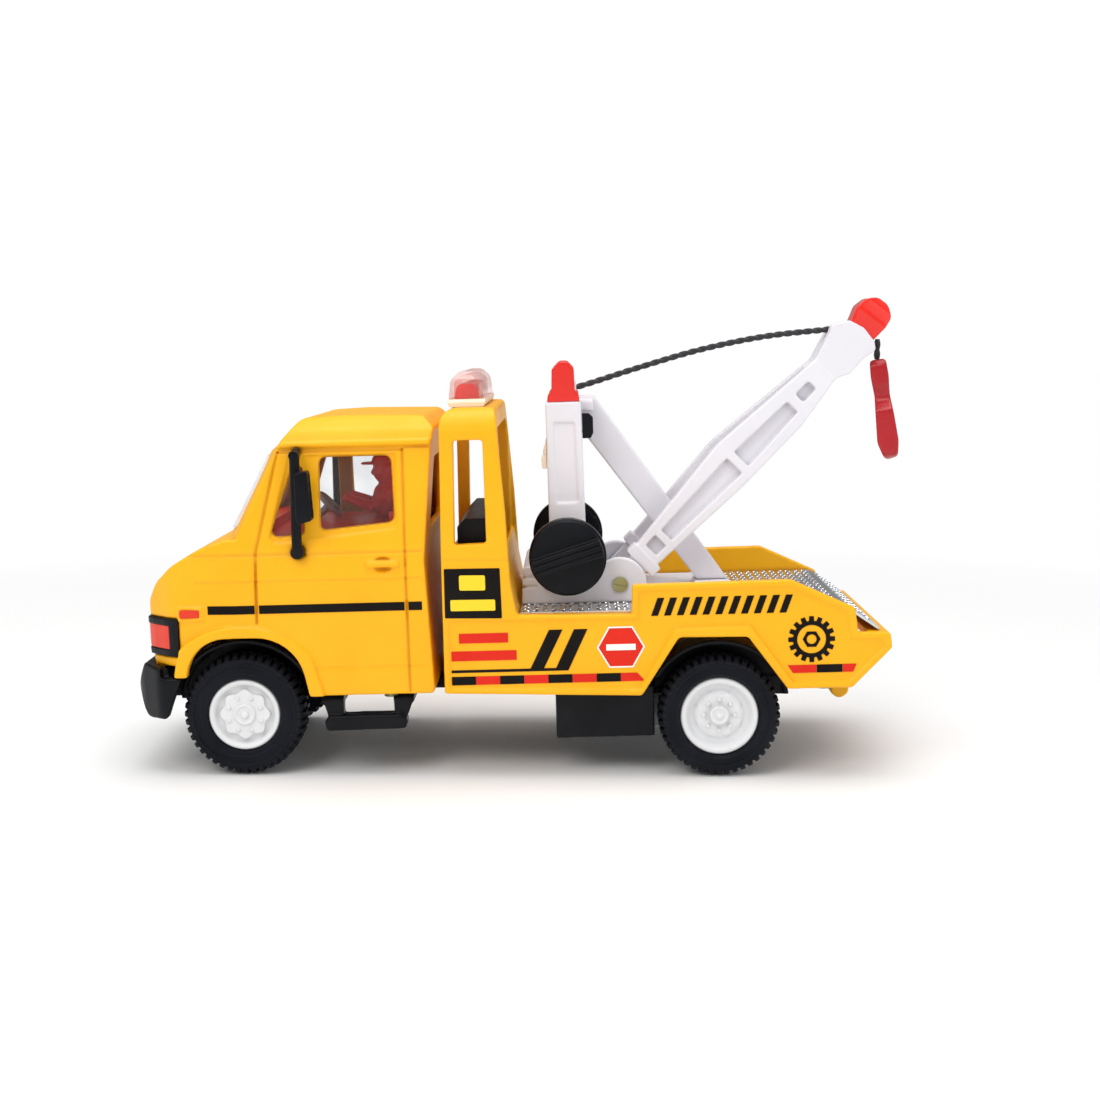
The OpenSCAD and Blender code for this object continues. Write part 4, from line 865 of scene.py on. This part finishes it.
def smooth_curve(stations, steps=14):
    """Catmull-Rom curve through (x, z) stations on the centre plane."""
    knots = [Vector((x, 0, z)) for x, z in stations]
    knots = [knots[0] * 2 - knots[1]] + knots + [knots[-1] * 2 - knots[-2]]
    curve = []
    for a, b, c, d in zip(knots, knots[1:], knots[2:], knots[3:]):
        for k in range(steps):
            t = k / steps
            curve.append(0.5 * ((2 * b) + (c - a) * t + (2 * a - 5 * b + 4 * c - d) * t * t
                                + (3 * b - a - 3 * c + d) * t ** 3))
    curve.append(knots[-2])
    return curve


def rope(name, path, matrix):
    return mesh_object(name, *strand(path), matrix, "rope", smooth=True)


span = smooth_curve(SPAN)
obj = rope("rope_to_boom", span, BODY)
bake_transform(obj)
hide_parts("rope_span")

hand_over(rope("rope_from_winch", smooth_curve(FALL), BODY), "root", "rope_fall")


def drop(height):
    """Point on the hook line, height above its fixed station."""
    return Vector((HOOK_LINE_X, 0, HOOK_LINE_Z + height))


obj = rope("rope_to_hook", [drop(1.4), drop(-3.4)], LEVEL)
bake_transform(obj)
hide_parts("rope_drop")


def wound_rope():
    """Helix of cord over a core."""
    steps = WOUND_TURNS * TURN_STEPS
    helix = []
    for i in range(steps + 1):
        turn = 2 * pi * i / TURN_STEPS
        helix.append((SPOOL[0] + WOUND_R * cos(turn), -WOUND_Y + 2 * WOUND_Y * i / steps,
                      SPOOL[1] + WOUND_R * sin(turn)))
    solid = Solid().add(*strand(helix, radius=0.62, lay=2.9, step=0.3, sides=12))
    return solid.lathe([(3.05, -8.2), (3.4, -8.2), (3.4, 8.2), (3.05, 8.2)], SPOOL, 48)


hand_over(wound_rope().obj("rope_on_spool", BODY, "rope", smooth=True), "winch", "wound_rope")


# ---------------------------------------------------------------- driver
def driver(x, y):
    """Bust with a peaked cap, facing +X, arms held forward."""
    solid = Solid()
    solid.ball((x - 0.2, y, 58.9), (3.9, 5.6, 4.6))                  # chest
    solid.ball((x - 0.2, y, 61.2), (3.3, 5.0, 3.0))                  # shoulders
    solid.rod((x, y, 61), (x, y, 65.5), 1.8, 1.7)                    # neck
    solid.ball((x + 0.2, y, 67.0), (2.9, 2.75, 3.4))                 # head
    solid.ball((x + 3.05, y, 66.5), (0.55, 0.5, 0.75), 8)            # nose
    for s in (-1, 1):
        shoulder = (x + 0.2, y + s * 4.6, 61.0)
        elbow = (x + 2.6, y + s * 5.2, 58.2)
        wrist = (x + 8.6, y + s * 4.4, 60.6)
        solid.ball((x + 0.2, y + s * 2.75, 66.8), (0.55, 0.35, 0.85), 8)    # ear
        solid.rod(shoulder, elbow, 1.55, 1.35)
        solid.rod(elbow, wrist, 1.35, 1.1)
        solid.ball((x + 9.0, y + s * 4.3, 60.7), (1.2, 1.2, 1.2), 10)       # hand
    solid.ball((x, y, 69.3), (3.25, 3.1, 2.3))                       # crown of the cap
    peak = [(x + 1.0, y - 2.4), (x + 5.4, y - 1.9), (x + 6.0, y), (x + 5.4, y + 1.9),
            (x + 1.0, y + 2.4)]
    solid.prism(round_corners(peak, radius=0.8), 68.5, 69.1, "z")
    return solid.rod((x, y, 53.6), (x, y, 57), 2.9)                  # foot of the bust


source = driver(33.6, -14.0).obj("driver_src", BODY)
obj = cast("driver_bust", [source], "red_plastic",
           voxel=0.2, passes=5, keep=0.5, body="root", node="driver_figure")


# ---------------------------------------------------------------- floor
def floor_material():
    """Pale floor that fades to pure white away from the truck."""
    mat, g = start_material("pale_floor")
    cloud = g.noise(g.coord(), scale=6, detail=3, rough=0.5)
    near = g.principled({
        "Base Color": g.ramp(cloud, low=(0.88, 0.88, 0.88), high=(0.91, 0.91, 0.91)),
        "Roughness": 0.6,
        "Specular IOR Level": 0.2,
    })
    away = g.node("ShaderNodeVectorMath", {0: g.coord()}, operation="LENGTH").outputs["Value"]
    white = {"Color": (1, 1, 1), "Strength": 1.0}
    far = g.node("ShaderNodeEmission", white).outputs[0]
    g.surface(g.blend(g.remap(away, span=(0.16, 0.40)), near, far))
    return mat


FLOOR_HALF, FLOOR_Z = 6.0, -0.0002    # metres
corners = [(x * FLOOR_HALF, y * FLOOR_HALF, FLOOR_Z)
           for x, y in ((-1, -1), (1, -1), (1, 1), (-1, 1))]
floor = mesh_object("floor", corners, [(0, 1, 2, 3)])
floor.data.materials.append(floor_material())


# ---------------------------------------------------------------- world and lights
# White surroundings: strength for all rays, and what camera and glossy rays add to it.
FILL, CAMERA_EXTRA, GLOSSY_EXTRA = 0.58, 0.45, -0.3
world = bpy.data.worlds.new("studio")
bpy.context.scene.world = world
world.use_nodes = True
g = Graph(world.node_tree)
background = world.node_tree.nodes["Background"]
rays = g.node("ShaderNodeLightPath").outputs
camera_part = g.math("MULTIPLY", rays["Is Camera Ray"], CAMERA_EXTRA)
glossy_part = g.math("MULTIPLY", rays["Is Glossy Ray"], GLOSSY_EXTRA)
g.feed(background.inputs[0], (1.0, 1.0, 1.0))
g.feed(background.inputs[1], g.math("ADD", g.math("ADD", camera_part, glossy_part), FILL))

view = bpy.context.scene.view_settings
view.view_transform = "Standard"
view.exposure = 0.0
view.gamma = 1.0


def aim(obj, direction):
    obj.rotation_euler = direction.to_track_quat("-Z", "Y").to_euler()


def area_light(name, place, target, size, power, colour=(1, 1, 1)):
    """Rectangular light; places and sizes in metres, power in watts."""
    light = bpy.data.lights.new(name, "AREA")
    light.shape = "RECTANGLE"
    light.size, light.size_y = size
    light.energy = power
    light.color = colour
    obj = bpy.data.objects.new(name, light)
    coll.objects.link(obj)
    obj.location = place
    aim(obj, Vector(target) - Vector(place))


area_light("key", place=(0.32, 0.50, 0.55), target=(0, 0, 0.04), size=(0.45, 0.35), power=2.0,
           colour=(1.0, 0.985, 0.96))
area_light("top", place=(-0.02, 0.02, 0.70), target=(0, 0, 0.03), size=(0.6, 0.5), power=3.2)
area_light("fill", place=(-0.50, 0.45, 0.22), target=(0, 0, 0.05), size=(0.4, 0.4), power=0.5,
           colour=(0.97, 0.98, 1.0))


# ---------------------------------------------------------------- camera, on the left side
PITCH, YAW = radians(7.4), radians(0.7)    # down, and towards the nose
lens = bpy.data.cameras.new("camera")
lens.sensor_width = 36
lens.lens = 52.95
lens.clip_start = 0.01
camera = bpy.data.objects.new("camera", lens)
coll.objects.link(camera)
camera.location = ((-10.45 + SHIFT) / 1000, 0.387, 0.0981)
aim(camera, Vector((sin(YAW) * cos(PITCH), -cos(YAW) * cos(PITCH), -sin(PITCH))))
bpy.context.scene.camera = camera
